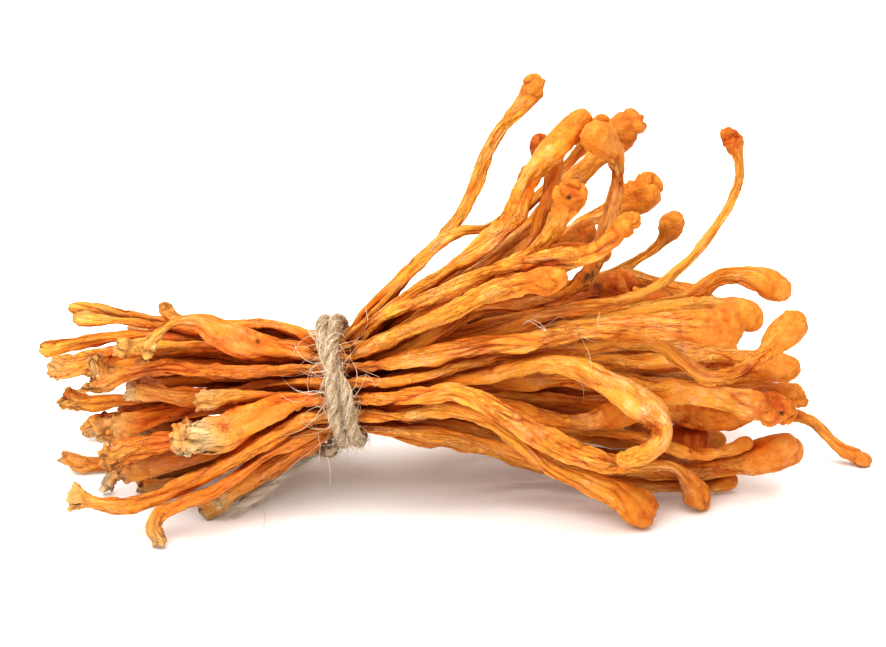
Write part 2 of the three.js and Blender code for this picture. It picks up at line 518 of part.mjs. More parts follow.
// The centre, tangent, width and bend at a place between two points of a fruit body.
function sampleAt(body, along, place) {
  const i = Math.min(Math.floor(place), body.points.length - 2);
  const share = place - i;
  const step = body.points[i + 1].distanceTo(body.points[i]);
  return {
    place,
    centre: body.points[i].clone().lerp(body.points[i + 1], share),
    tangent: along[i].clone().lerp(along[i + 1], share).normalize(),
    width: lerp(body.widths[i], body.widths[i + 1], share),
    bend: along[i + 1].clone().sub(along[i]).divideScalar(step),
  };
}

// The two axes of each ring: the flat side of a stem mostly faces the viewer, and turns only slowly.
function addAxes(rings) {
  const sight = new THREE.Vector3();
  const facing = new THREE.Vector3();
  rings.forEach((ring, n) => {
    sight.copy(EYE).sub(ring.centre).normalize().addScaledVector(ring.tangent, -sight.dot(ring.tangent));
    if (n === 0) facing.copy(sight);
    facing.addScaledVector(ring.tangent, -facing.dot(ring.tangent)).normalize();
    facing.addScaledVector(sight, 0.6).normalize();
    ring.flat = facing.clone();
    ring.wide = facing.clone().cross(ring.tangent).normalize();
  });
}

// The planes that a ring's skin stays behind: half way to each neighbour, and short of its bend's middle.
function limitsAt(bodies, own, { centre, width, bend }) {
  const limits = [];
  for (const other of bodies) {
    if (other === own) continue;
    other.points.forEach((q, j) => {
      const far = q.distanceTo(centre);
      if (far > 0.62 * (width + other.widths[j]) + 2) return;
      const share = far * (width / (width + other.widths[j])) - GAP / 2;
      limits.push({ normal: q.clone().sub(centre).divideScalar(far), share });
    });
  }
  const sharp = bend.length();
  if (sharp > 0.02) limits.push({ normal: bend.clone().divideScalar(sharp), share: 0.7 / sharp });
  return limits;
}

// How far the skin may stand from a ring's centre in a direction.
function roomTowards(direction, wanted, limits) {
  let room = wanted;
  for (const { normal, share } of limits) {
    const facing = direction.dot(normal);
    if (facing > 0.05) room = Math.min(room, share / facing);
  }
  return Math.max(room, 0.25);
}

// The points of one ring: an oval with the lobes and ripple of a furrowed stem.
function ringPoints(ring, limits, shape, { swell, lift, rag }) {
  const waist = 1 - smoothstep(Math.abs(fromWaist(ring.centre)), 4, 16);
  const flatness = lerp(STEM_FLATNESS, CLUB_FLATNESS, ring.club);
  const furrow = FURROW * (1 - 0.7 * ring.club) * (1 - waist);
  const points = [];
  for (let k = 0; k < SIDES; k++) {
    const angle = (2 * Math.PI * k) / SIDES;
    const lobes = Math.cos(3 * angle + shape.lobes + 0.35 * ring.place);
    const ripple = Math.cos(2 * angle + shape.ripple - 0.22 * ring.place);
    const rough = 1 + furrow * lobes + 0.5 * furrow * ripple + rag * (shape.random() - 0.5);
    const across = Math.cos(angle) * (1 + 0.25 * waist);
    const through = Math.sin(angle) * flatness * (1 + 0.5 * waist);
    const spoke = ring.wide.clone().multiplyScalar(across).addScaledVector(ring.flat, through);
    spoke.multiplyScalar((rough * swell * ring.width) / 2).addScaledVector(ring.tangent, lift);
    const length = spoke.length();
    const room = roomTowards(spoke.divideScalar(length), length, limits);
    points.push(ring.centre.clone().addScaledVector(spoke, room));
  }
  return points;
}

// The closed skin of a settled fruit body: a ragged cut base, rings along the stem, and a rounded club.
function skin(bodies, body) {
  const random = seeded(9001 + 77 * body.index);
  const shape = { random, lobes: 2 * Math.PI * random(), ripple: 2 * Math.PI * random() };
  const along = tangents(body.points);
  const last = body.points.length - 1;
  const rings = ringPlaces(body, along).map((place) => sampleAt(body, along, place));
  addAxes(rings);
  for (const ring of rings) ring.club = smoothstep(ring.place, last * 0.86, last);
  const [base, tip] = [rings[0], rings[rings.length - 1]];
  const baseDepth = (BASE_CAP * base.width) / 2;
  const tipDepth = (CLUB_CAP * tip.width) / 2;
  const tipLimits = limitsAt(bodies, body, tip);
  const baseCap = { swell: 0.72, lift: -baseDepth, rag: 0.35 };
  const verts = ringPoints(base, limitsAt(bodies, body, base), shape, baseCap);
  rings.forEach((ring, n) => {
    const how = { swell: 1, lift: 0, rag: n < 2 ? 0.3 : 0.06 };
    verts.push(...ringPoints(ring, limitsAt(bodies, body, ring), shape, how));
  });
  verts.push(...ringPoints(tip, tipLimits, shape, { swell: 0.84, lift: tipDepth * 0.55, rag: 0.04 }));
  verts.push(...ringPoints(tip, tipLimits, shape, { swell: 0.48, lift: tipDepth * 0.88, rag: 0.04 }));
  const tipRoom = roomTowards(tip.tangent, tipDepth, tipLimits);
  const poles = [
    base.centre.clone().addScaledVector(base.tangent, -baseDepth * 0.6),
    tip.centre.clone().addScaledVector(tip.tangent, tipRoom),
  ];
  const centres = [base.centre, ...rings.map((ring) => ring.centre), tip.centre, tip.centre];
  return { verts, poles, centres };
}

// The triangles of a skin: quads between rings, each cut in two, and a fan at each end.
function skinTriangles({ verts }) {
  const basePole = verts.length;
  const top = verts.length - SIDES;
  const triangles = [];
  for (let k = 0; k < SIDES; k++) {
    const next = (k + 1) % SIDES;
    triangles.push(basePole, next, k);
    for (let ring = 0; ring < top; ring += SIDES) {
      const [a, b] = [ring + k, ring + next];
      triangles.push(a, b, a + SIDES, b, b + SIDES, a + SIDES);
    }
    triangles.push(top + k, top + next, basePole + 1);
  }
  return triangles;
}

function allPoints({ verts, poles }) {
  return [...verts, ...poles];
}

function flatArray(vectors) {
  return new Float32Array(vectors.flatMap((v) => [v.x, v.y, v.z]));
}

function solidOf(made) {
  const vertProperties = flatArray(allPoints(made));
  const triVerts = new Uint32Array(skinTriangles(made));
  return new wasm.Manifold(new wasm.Mesh({ numProp: 3, vertProperties, triVerts }));
}

// Draws in the side of a skin that faces a point, at the two rings on either side of the point.
const TRIM_SHARE = 0.07;
function drawIn({ verts, poles, centres }, point) {
  const segment = new THREE.Line3();
  const foot = new THREE.Vector3();
  let nearest = { far: Infinity };
  for (let r = 0; r < centres.length - 1; r++) {
    segment.set(centres[r], centres[r + 1]).closestPointToPoint(point, true, foot);
    const far = foot.distanceTo(point);
    if (far < nearest.far) nearest = { far, ring: r, outward: point.clone().sub(foot).normalize() };
  }
  const { ring, outward } = nearest;
  for (let n = ring * SIDES; n < (ring + 2) * SIDES; n++) {
    const centre = centres[Math.floor(n / SIDES)];
    if (foot.copy(verts[n]).sub(centre).normalize().dot(outward) > 0.2) verts[n].lerp(centre, TRIM_SHARE);
  }
  const last = centres.length - 1;
  if (ring === 0) poles[0].lerp(centres[0], TRIM_SHARE);
  if (ring >= last - 2) poles[1].lerp(centres[last], TRIM_SHARE);
}

// Where a skin still crosses another or the twine, it draws in a little, until nothing crosses.
const TRIM_ROUNDS = 60;
const TRIM_VOLUME = 2e-4;
function trimCrossings(skins, twineSolid) {
  const middle = new THREE.Vector3();
  const separate = (common, sides) => {
    const pieces = common.volume() > TRIM_VOLUME ? common.decompose() : [];
    for (const piece of pieces) {
      const { min, max } = piece.boundingBox();
      middle.set(min[0] + max[0], min[1] + max[1], min[2] + max[2]).multiplyScalar(0.5);
      for (const made of sides) drawIn(made, middle);
    }
    common.delete();
    return pieces.length;
  };
  for (let round = 0; round < TRIM_ROUNDS; round++) {
    const solids = skins.map(solidOf);
    const boxes = skins.map((made) => new THREE.Box3().setFromPoints(allPoints(made)));
    let crossings = 0;
    solids.forEach((solid, a) => {
      for (let b = a + 1; b < skins.length; b++) {
        if (!boxes[a].intersectsBox(boxes[b])) continue;
        crossings += separate(solid.intersect(solids[b]), [skins[a], skins[b]]);
      }
      crossings += separate(solid.intersect(twineSolid), [skins[a]]);
    });
    solids.forEach((solid) => solid.delete());
    if (crossings === 0) return;
  }
}

// Points on the skins near the tie: the distance along the bunch, and y and z from the middle of the tie.
const TIE_REACH = 3.6;
function pointsAtTie(skins) {
  const point = new THREE.Vector3();
  const points = [];
  for (const { verts } of skins)
    for (let n = 0; n < verts.length - SIDES; n++)
      for (let part = 0; part <= 20; part++) {
        point.lerpVectors(verts[n], verts[n + SIDES], part / 20);
        const along = fromWaist(point);
        if (Math.abs(along) < TIE_REACH) points.push([along, point.y - WAIST.y, point.z - WAIST.z]);
      }
  return points;
}

// How far the stems under the twine reach in a direction round the waist. The twine spans their hollows.
function reachOf(points, along, angle) {
  const [cy, cz] = [-Math.cos(angle), Math.sin(angle)];
  let reach = 0;
  for (const [w, y, z] of points) if (Math.abs(w - along) < 0.9) reach = Math.max(reach, y * cy + z * cz);
  return reach;
}

// Where the twine's centre line runs at an angle round the waist: on the envelope of the lines it touches.
function roundWaist(points, degrees, along, layers) {
  const angle = THREE.MathUtils.degToRad(degrees);
  const step = THREE.MathUtils.degToRad(6);
  const slope = (reachOf(points, along, angle + step) - reachOf(points, along, angle - step)) / (2 * step);
  const lift = TWINE_DIAMETER / 2 + TWINE_CLEARANCE + layers * (TWINE_DIAMETER + 0.1);
  const far = reachOf(points, along, angle) + lift;
  const y = WAIST.y - far * Math.cos(angle) + slope * Math.sin(angle);
  const z = WAIST.z + far * Math.sin(angle) + slope * Math.cos(angle);
  return new THREE.Vector3(WAIST.x - WAIST_SLANT * (z - WAIST.z) + along, y, z);
}

// The centre line of the twine: in from the first loose end, twice round the waist, out to the second.
function twineLine(points) {
  const turns = [];
  for (let n = 0; n < TWINE_TURNS.length - 1; n++) {
    const [from, to] = [TWINE_TURNS[n], TWINE_TURNS[n + 1]];
    const parts = Math.max(1, Math.round(Math.abs(to[0] - from[0]) / 9));
    for (let part = 0; part < parts; part++) {
      const ease = smoothstep(part / parts, 0, 1);
      const degrees = lerp(from[0], to[0], part / parts);
      turns.push(roundWaist(points, degrees, lerp(from[1], to[1], ease), lerp(from[2], to[2], ease)));
    }
  }
  const end = (route) => route.map(([u, v, near]) => seen(u, v, near));
  const line = [...end(TWINE_END_IN), ...turns, ...end(TWINE_END_OUT).reverse()];
  return new THREE.CatmullRomCurve3(line, false);
}

// A round tube along a curve, closed at both ends.
function tube(curve, diameter, step) {
  curve.arcLengthDivisions = 1200;
  const points = curve.getSpacedPoints(Math.round(curve.getLength() / step));
  const along = tangents(points);
  const facing = new THREE.Vector3(0, 0, 1);
  const verts = [];
  points.forEach((p, n) => {
    facing.addScaledVector(along[n], -facing.dot(along[n])).normalize();
    const side = facing.clone().cross(along[n]).multiplyScalar(diameter / 2);
    for (let k = 0; k < SIDES; k++) {
      const angle = (2 * Math.PI * k) / SIDES;
      verts.push(p.clone().addScaledVector(side, Math.cos(angle)));
      verts[verts.length - 1].addScaledVector(facing, (Math.sin(angle) * diameter) / 2);
    }
  });
  return { verts, poles: [points[0].clone(), points[points.length - 1].clone()] };
}

// What would be under the surface is pressed flat on it.
function pressOnSurface(made) {
  for (const v of allPoints(made)) v.z = Math.max(v.z, FLOOR_Z);
}

function meshOf(name, made, material) {
  const geometry = new THREE.BufferGeometry();
  geometry.setAttribute("position", new THREE.BufferAttribute(flatArray(allPoints(made)), 3));
  geometry.setIndex(skinTriangles(made));
  geometry.computeVertexNormals();
  const mesh = new THREE.Mesh(geometry, material);
  mesh.name = name;
  return mesh;
}

// The fruit bodies, settled against each other round the two fixed ends of the twine.
const fruitBodies = Object.values(TRACED).map((route, index) => {
  const behind = route[0][0] === WAIST_PX.u;
  const whole = behind ? [...hiddenBase(route[0], seeded(501 + 13 * index)), ...route] : route;
  return { ...grow(whole, index), behind };
});
const twineEnds = [TWINE_END_IN, TWINE_END_OUT].map((route, n) => {
  return { ...grow(route, 90 + n), fixed: true };
});
const everything = [...fruitBodies, ...twineEnds];
settle(everything);
const skins = fruitBodies.map((body) => skin(everything, body));
skins.forEach(pressOnSurface);

// The twine, drawn tight round the skins at the waist.
const twine = tube(twineLine(pointsAtTie(skins)), TWINE_DIAMETER, TWINE_STEP);
pressOnSurface(twine);
trimCrossings(skins, solidOf(twine));

const fungus = new THREE.MeshStandardMaterial({ color: ORANGE, roughness: 0.75, metalness: 0 });
const jute = new THREE.MeshStandardMaterial({ color: JUTE, roughness: 0.95, metalness: 0 });
const group = new THREE.Group();
skins.forEach((made, n) => group.add(meshOf(`fruit_body_${String(n + 1).padStart(2, "0")}`, made, fungus)));
group.add(meshOf("twine_tie", twine, jute));

// The middle of the footprint, on the surface, is the origin.
const box = new THREE.Box3().setFromObject(group);
const middle = box.getCenter(new THREE.Vector3());
group.position.set(-middle.x, -middle.y, -FLOOR_Z);

export default group;
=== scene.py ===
"""A tied bunch of dried Cordyceps fruit bodies, lying on its side on a pale surface.

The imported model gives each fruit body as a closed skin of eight-sided rings, from the end that was cut from
the grain to the club at the other end, and the twine as a closed tube of such rings. This script reads the
rings back, carries a smooth surface through them, and gives it the furrows, creases, pimples and crusts of
the dried fungus. The twine is laid again along its route from three twisted plies and from loose fibres.

Sizes in this script are millimetres, and become metres only when a mesh is made.
"""

from __future__ import annotations

import logging
import math
from dataclasses import dataclass, field
from enum import Enum
from itertools import product
from typing import NamedTuple

import bpy
import numpy as np
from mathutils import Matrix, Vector
from mathutils.bvhtree import BVHTree


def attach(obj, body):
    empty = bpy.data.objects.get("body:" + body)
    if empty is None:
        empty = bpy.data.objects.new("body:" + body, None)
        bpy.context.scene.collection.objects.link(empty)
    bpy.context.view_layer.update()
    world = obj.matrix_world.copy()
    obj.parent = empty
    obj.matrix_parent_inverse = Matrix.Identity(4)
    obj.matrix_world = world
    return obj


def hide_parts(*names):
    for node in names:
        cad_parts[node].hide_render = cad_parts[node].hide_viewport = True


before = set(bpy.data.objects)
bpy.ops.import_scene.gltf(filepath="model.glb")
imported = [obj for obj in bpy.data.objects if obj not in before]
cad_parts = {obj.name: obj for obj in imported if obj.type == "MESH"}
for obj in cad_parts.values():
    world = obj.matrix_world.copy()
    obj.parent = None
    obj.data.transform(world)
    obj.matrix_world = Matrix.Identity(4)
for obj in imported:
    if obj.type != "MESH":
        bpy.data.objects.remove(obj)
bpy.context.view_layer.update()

logging.basicConfig(level=logging.INFO, format="%(message)s")
log = logging.getLogger("bunch")

MM = 0.001
RING_SIDES = 8
BODY = "root"
TWINE_NODE = "twine_tie"


# Small mathematics


def smoothstep(low: float, high: float, value: np.ndarray) -> np.ndarray:
    """An S-curve from 0 at low to 1 at high: three parts of the square less two of the cube."""
    share = np.clip((value - low) / (high - low), 0.0, 1.0)
    return share * share * (3.0 - 2.0 * share)


def unit(vectors: np.ndarray) -> np.ndarray:
    """Each vector at length one."""
    length = np.linalg.norm(vectors, axis=-1, keepdims=True)
    return vectors / np.maximum(length, 1e-9)


def crossing(value: np.ndarray, width: float) -> np.ndarray:
    """How near a noise is to nought: 1 where it crosses it, down to 0 where its size is the width."""
    return np.clip(1.0 - np.abs(value) / width, 0.0, 1.0)


def puff(value: np.ndarray, width: float) -> np.ndarray:
    """The section of a puffy fold: the root of a noise's size over the width, held at one, less one."""
    return np.sqrt(np.minimum(np.abs(value) / width, 1.0)) - 1.0


def through(points: np.ndarray, knots: np.ndarray, at: np.ndarray) -> np.ndarray:
    """Carries a smooth curve through points, for as many curves at once as the points have columns.

    Each stretch is a cubic, and its slope at a point is the slope there of the parabola through that point
    and its two neighbours.

    Args:
        points: the points of each curve, along the first axis.
        knots: the length along the curve at each point.
        at: the lengths at which the curve is wanted.

    Returns:
        The curve at those lengths, along the first axis.
    """
    shape = (-1,) + (1,) * (points.ndim - 1)
    step = np.diff(knots).reshape(shape)
    rise = np.diff(points, axis=0) / step
    slope = np.empty_like(points)
    slope[1:-1] = (rise[1:] * step[:-1] + rise[:-1] * step[1:]) / (step[1:] + step[:-1])
    slope[0] = rise[0]
    slope[-1] = rise[-1]
    cell = np.clip(np.searchsorted(knots, at, side="right") - 1, 0, len(knots) - 2)
    width = step[cell]
    share = ((at - knots[cell]).reshape(shape)) / width
    square = share * share
    cube = square * share
    return (
        points[cell] * (2 * cube - 3 * square + 1)
        + slope[cell] * width * (cube - 2 * square + share)
        + points[cell + 1] * (3 * square - 2 * cube)
        + slope[cell + 1] * width * (cube - square)
    )


class Noise:
    """Seeded gradient noise in space, mostly between -0.7 and 0.7.

    Each corner of a unit cell gets one of sixteen slopes by a mix of its place and the seed: every part is
    multiplied by a large odd number, and the product is shifted and folded onto itself.
    """

    PLACE_MIX = tuple(np.uint64(n) for n in (0x9E3779B97F4A7C15, 0xC2B2AE3D27D4EB4F, 0x165667B19E3779F9))
    SEED_MIX = np.uint64(0xD6E8FEB86659FD93)
    LAST_MIX = np.uint64(0xBF58476D1CE4E5B9)
    TRACK_SLANT = 0.37
    SLOPES = np.array(
        [v for v in product((-1.0, 0.0, 1.0), repeat=3) if sum(abs(n) for n in v) == 2]
        + [(1.0, 1.0, 0.0), (-1.0, 1.0, 0.0), (0.0, -1.0, 1.0), (0.0, -1.0, -1.0)]
    )

    def __init__(self, seed: int) -> None:
        """Args: seed: a whole number; each gives another pattern."""
        self.seed = np.uint64(seed * 7919 + 101)

    def _draw(self, cell: np.ndarray) -> np.ndarray:
        """A whole number from 0 to 15 for each cell corner, by mixing its three places with the seed."""
        place = cell.astype(np.int64).astype(np.uint64)
        mixed = self.seed * self.SEED_MIX
        for axis, factor in enumerate(self.PLACE_MIX):
            mixed = mixed ^ (place[..., axis] * factor)
        mixed ^= mixed >> np.uint64(29)
        mixed *= self.LAST_MIX
        mixed ^= mixed >> np.uint64(32)
        return (mixed & np.uint64(15)).astype(np.int64)

    def at(self, points: np.ndarray) -> np.ndarray:
        """The noise at each point.

        Each corner of the point's unit cell has a slope; the eight slopes' heights at the point are blended
        by the curve 6t^5 - 15t^4 + 10t^3 along each axis.
        """
        cell = np.floor(points)
        inside = points - cell
        blend = inside**3 * (inside * (inside * 6.0 - 15.0) + 10.0)
        total = np.zeros(points.shape[:-1])
        for corner in product((0.0, 1.0), repeat=3):
            offset = np.array(corner)
            slope = self.SLOPES[self._draw(cell + offset)]
            height = ((inside - offset) * slope).sum(-1)
            total += height * np.prod(np.where(offset > 0, blend, 1.0 - blend), axis=-1)
        return total

    def along(self, lengths: np.ndarray, track: float) -> np.ndarray:
        """The noise along one line of its space: another track gives another line."""
        lengths = np.asarray(lengths, float)
        beside = np.full_like(lengths, track)
        return self.at(np.stack([lengths, beside, self.TRACK_SLANT * beside], axis=-1))


# Meshes


def new_mesh_object(name: str, points: np.ndarray, faces: list[np.ndarray]) -> bpy.types.Object:
    """Makes an object at the origin whose mesh holds the points, given in millimetres.

    Args:
        name: the name of the piece.
        points: the places of the vertices, one row each.
        faces: arrays of vertex numbers, one row a face: each array holds faces of one number of corners.

    Returns:
        The new object, linked to the scene and shaded smooth.
    """
    mesh = bpy.data.meshes.new(name)
    corners = np.concatenate([part.ravel() for part in faces])
    counts = np.concatenate([np.full(len(part), part.shape[1]) for part in faces])
    mesh.vertices.add(len(points))
    mesh.vertices.foreach_set("co", (points * MM).astype(np.float32).ravel())
    mesh.loops.add(len(corners))
    mesh.loops.foreach_set("vertex_index", corners.astype(np.int32))
    mesh.polygons.add(len(counts))
    mesh.polygons.foreach_set("loop_start", (np.cumsum(counts) - counts).astype(np.int32))
    mesh.update(calc_edges=True)
    mesh.polygons.foreach_set("use_smooth", np.ones(len(counts), bool))
    mesh.validate()
    made = bpy.data.objects.new(name, mesh)
    bpy.context.scene.collection.objects.link(made)
    return made


def vertex_places(mesh: bpy.types.Mesh) -> np.ndarray:
    """The places of a mesh's vertices in millimetres, one row each."""
    places = np.empty(len(mesh.vertices) * 3, np.float32)
    mesh.vertices.foreach_get("co", places)
    return places.reshape(-1, 3) / MM


def set_number(made: bpy.types.Object, name: str, values: np.ndarray) -> None:
    """Writes one number a vertex as a mesh attribute that the materials read."""
    layer = made.data.attributes.new(name, "FLOAT", "POINT")
    layer.data.foreach_set("value", values.astype(np.float32).ravel())


def set_vector(made: bpy.types.Object, name: str, values: np.ndarray) -> None:
    """Writes one vector a vertex as a mesh attribute that the materials read."""
    layer = made.data.attributes.new(name, "FLOAT_VECTOR", "POINT")
    layer.data.foreach_set("vector", values.astype(np.float32).ravel())


def tube_faces(rows: int, sides: int, first: int = 0) -> np.ndarray:
    """The four-cornered faces between rows of vertices, each row a closed ring."""
    row, side = np.meshgrid(np.arange(rows - 1) * sides + first, np.arange(sides), indexing="ij")
    beside = (side + 1) % sides
    corners = [row + side, row + beside, row + sides + beside, row + sides + side]
    return np.stack(corners, axis=-1).reshape(-1, 4)


def pole_fans(rows: int, sides: int, first: int = 0) -> np.ndarray:
    """The three-cornered faces that close a tube round a pole at each end.

    Args:
        rows: how many rows of vertices the tube has.
        sides: how many vertices a row has.
        first: the number of the first vertex. The two poles come after the rows.

    Returns:
        The faces, one row each: those of the first end, then those of the last.
    """
    side = np.arange(sides)
    beside = (side + 1) % sides
    pole = np.full(sides, first + rows * sides)
    last = first + (rows - 1) * sides
    start = np.stack([pole, first + beside, first + side], axis=1)
    end = np.stack([pole + 1, last + side, last + beside], axis=1)
    return np.concatenate([start, end])


def strands(paths: np.ndarray, radii: np.ndarray, sides: int) -> tuple[np.ndarray, list[np.ndarray]]:
    """Makes many thin tubes at once, one along each path.

    A point of a tube is its path's point plus the radius times (cos a, sin a) across the path, where a goes
    round in equal steps; the two directions across are made square to the path from one fixed direction.

    Args:
        paths: the points of the paths: paths, points, places.
        radii: the radius at each point: paths, points.
        sides: how many vertices go round a tube.

    Returns:
        The vertices, and two arrays of faces: the four-cornered ones along the tubes, and one that closes
        each end.
    """
    count, rows, _ = paths.shape
    direction = unit(np.gradient(paths, axis=1))
    steep = np.abs(direction[:, :1, 2:3]) > 0.9
    fixed = np.where(steep, np.array([1.0, 0.0, 0.0]), np.array([0.0, 0.0, 1.0]))
    across = unit(np.cross(direction, np.broadcast_to(fixed, direction.shape)))
    other = np.cross(direction, across)
    angle = np.arange(sides) * (2.0 * math.pi / sides)
    ring = across[:, :, None] * np.cos(angle)[:, None] + other[:, :, None] * np.sin(angle)[:, None]
    points = paths[:, :, None] + ring * radii[:, :, None, None]
    first = (np.arange(count) * rows * sides)[:, None, None]
    faces = tube_faces(rows, sides)[None] + first
    ends = np.stack([np.arange(sides)[::-1], (rows - 1) * sides + np.arange(sides)])
    return points.reshape(-1, 3), [faces.reshape(-1, 4), (ends + first).reshape(-1, sides)]


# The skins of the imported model


@dataclass
class RingSkin:
    """A closed skin of eight-sided rings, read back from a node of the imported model.

    Attributes:
        rings: the vertices in millimetres, from the first pole to the last: rings, sides, places. A pole is
            a ring whose vertices are all one point.
        least_step: the least length between two rings, in millimetres.
    """

    rings: np.ndarray
    least_step: float = 0.02

    @classmethod
    def of_node(cls, node: bpy.types.Object) -> RingSkin:
        """Reads the rings of a node.

        The two poles are the only points with eight neighbours. The neighbours of a pole are the first ring,
        their neighbours beyond are the second, and so on to the other pole.

        Args:
            node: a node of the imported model.

        Returns:
            Its rings, starting from the pole further towards the cut bases.
        """
        mesh = node.data
        points, index = np.unique(np.round(vertex_places(mesh), 3), axis=0, return_inverse=True)
        corners = np.empty(len(mesh.loops), np.int32)
        mesh.loops.foreach_get("vertex_index", corners)
        near: list[set[int]] = [set() for _ in points]
        for a, b, c in index.reshape(-1)[corners].reshape(-1, 3):
            near[a] |= {b, c}
            near[b] |= {a, c}
            near[c] |= {a, b}
        poles = [k for k, around in enumerate(near) if len(around) == RING_SIDES]
        poles.sort(key=lambda k: points[k, 0])
        rings = [np.repeat(points[poles[0]][None], RING_SIDES, axis=0)]
        seen = {poles[0]}
        level = near[poles[0]]
        while len(level) == RING_SIDES:
            seen |= level
            rings.append(cls._in_line(points[cls._walk(level, near)], rings[-1]))
            level = set().union(*(near[k] for k in level)) - seen
        rings.append(np.repeat(points[poles[1]][None], RING_SIDES, axis=0))
        return cls(np.array(rings))

    @staticmethod
    def _walk(level: set[int], near: list[set[int]]) -> list[int]:
        """The points of a ring in their order round it."""
        way = [min(level)]
        while len(way) < len(level):
            way.append(min((near[way[-1]] & level) - set(way)))
        return way

    @staticmethod
    def _in_line(ring: np.ndarray, before: np.ndarray) -> np.ndarray:
        """The ring, started and turned so that its points lie nearest to those of the ring before."""
        both = (ring, ring[::-1])
        ways = [np.roll(turned, shift, axis=0) for turned in both for shift in range(RING_SIDES)]
        return min(ways, key=lambda way: float(((way - before) ** 2).sum()))

    def lengths(self) -> np.ndarray:
        """The length over the surface from the first pole to each ring, the mean of its eight sides."""
        steps = np.linalg.norm(np.diff(self.rings, axis=0), axis=2).mean(axis=1)
        return np.concatenate([[0.0], np.cumsum(np.maximum(steps, self.least_step))])

    def middles(self) -> np.ndarray:
        """The middle of each ring."""
        return self.rings.mean(axis=1)


# The openness is where the flesh's material paints shade, and where it lowers its specular.
@dataclass
class Openness:
    """How much of the room each place on the skins faces, found with rays past the neighbouring fruit bodies.

    Attributes:
        skins: the skins of all the fruit bodies.
        rays: how many directions are tried, spread evenly over the sphere by the golden angle.
        reach: how far a ray goes, in millimetres.
        clearance: how far over the skin it starts, in millimetres.
        slant: the least cosine between a ray and the way out of the skin.
    """

    skins: list[RingSkin]
    rays: int = 60
    reach: float = 12.0
    clearance: float = 0.35
    slant: float = 0.15

    def __post_init__(self) -> None:
        """Puts the skins into one search tree and spreads the rays."""
        points, faces, first = [], [], 0
        for skin in self.skins:
            points.append(skin.rings.reshape(-1, 3))
            faces.append(tube_faces(len(skin.rings), RING_SIDES, first))
            first += len(points[-1])
        self.tree = BVHTree.FromPolygons(np.vstack(points).tolist(), np.vstack(faces).tolist())
        turn = np.arange(self.rays) * math.pi * (3.0 - math.sqrt(5.0))
        height = 1.0 - (np.arange(self.rays) + 0.5) * (2.0 / self.rays)
        flat = np.sqrt(1.0 - height**2)
        self.directions = np.stack([flat * np.cos(turn), flat * np.sin(turn), height], axis=-1)

    def of(self, skin: RingSkin) -> np.ndarray:
        """The share of the room that each point of a skin's rings faces.

        Args:
            skin: one of the skins.

        Returns:
            A share from 0 to 1 for each point: rings, sides. Rays count by their cosine with the way out.
        """
        away = unit(skin.rings - skin.middles()[:, None])
        away[0] = unit(skin.rings[0] - skin.middles()[1])
        away[-1] = unit(skin.rings[-1] - skin.middles()[-2])
        facing = away @ self.directions.T
        facing = np.where(facing > self.slant, facing, 0.0)
        free = np.zeros(facing.shape)
        ways = [Vector(way) for way in self.directions]
        for ring, side in np.ndindex(facing.shape[:2]):
            start = Vector(skin.rings[ring, side] + away[ring, side] * self.clearance)
            for ray in np.flatnonzero(facing[ring, side]):
                free[ring, side, ray] = self.tree.ray_cast(start, ways[ray], self.reach)[0] is None
        return (free * facing).sum(-1) / facing.sum(-1)


# Fruit bodies


class Base(Enum):
    """How the end that was cut from the grain looks."""

    STRAW = "a clean cut across a thin, partly hollow stem"
    KNOB = "a rounded knob with a dark scar"
    CURL = "shrunken lobes curled over each other"
    TORN = "torn, with a ragged rim"
    FLARE = "spread like a trumpet, its cut face hollow"
    CRUST = "swollen, with dried substrate grown on"


class Tip(Enum):
    """How the club's end looks."""

    SMOOTH = "round and smooth"
    CREASED = "shrunken, with deep creases"
    SUNKEN = "its middle sunken inside a rim"


@dataclass(frozen=True)
class Character:
    """What sets one fruit body apart from the others.

    Attributes:
        base: how the cut end looks.
        tip: how the club's end looks.
        pale: how far the cream and grey crust covers the base, from 0 to 1.
        grey: how grey or olive that crust is, from 0 to 1.
        bruise: how far the club is stained rusty brown, from 0 to 1.
        wrinkled: how deep its furrows are, 1 being usual.
        twist: how far its furrows turn round it, in radians a millimetre.
        dark: how far its flesh is darkened to red brown, from 0 to 1: painted shade on the bodies deep inside
        the bunch, and the deeper red of a few darker ones.
        headless: whether it ends without a club.
        tone: its shade among its neighbours, from 0 to 1, or None where it is drawn; set high on the upper
        bodies, it is painted light, since more light falls on them.
    """

    base: Base = Base.TORN
    tip: Tip = Tip.SMOOTH
    pale: float = 0.35
    grey: float = 0.3
    bruise: float = 0.2
    wrinkled: float = 1.0
    twist: float = 0.015
    dark: float = 0.0
    headless: bool = False
    tone: float | None = None
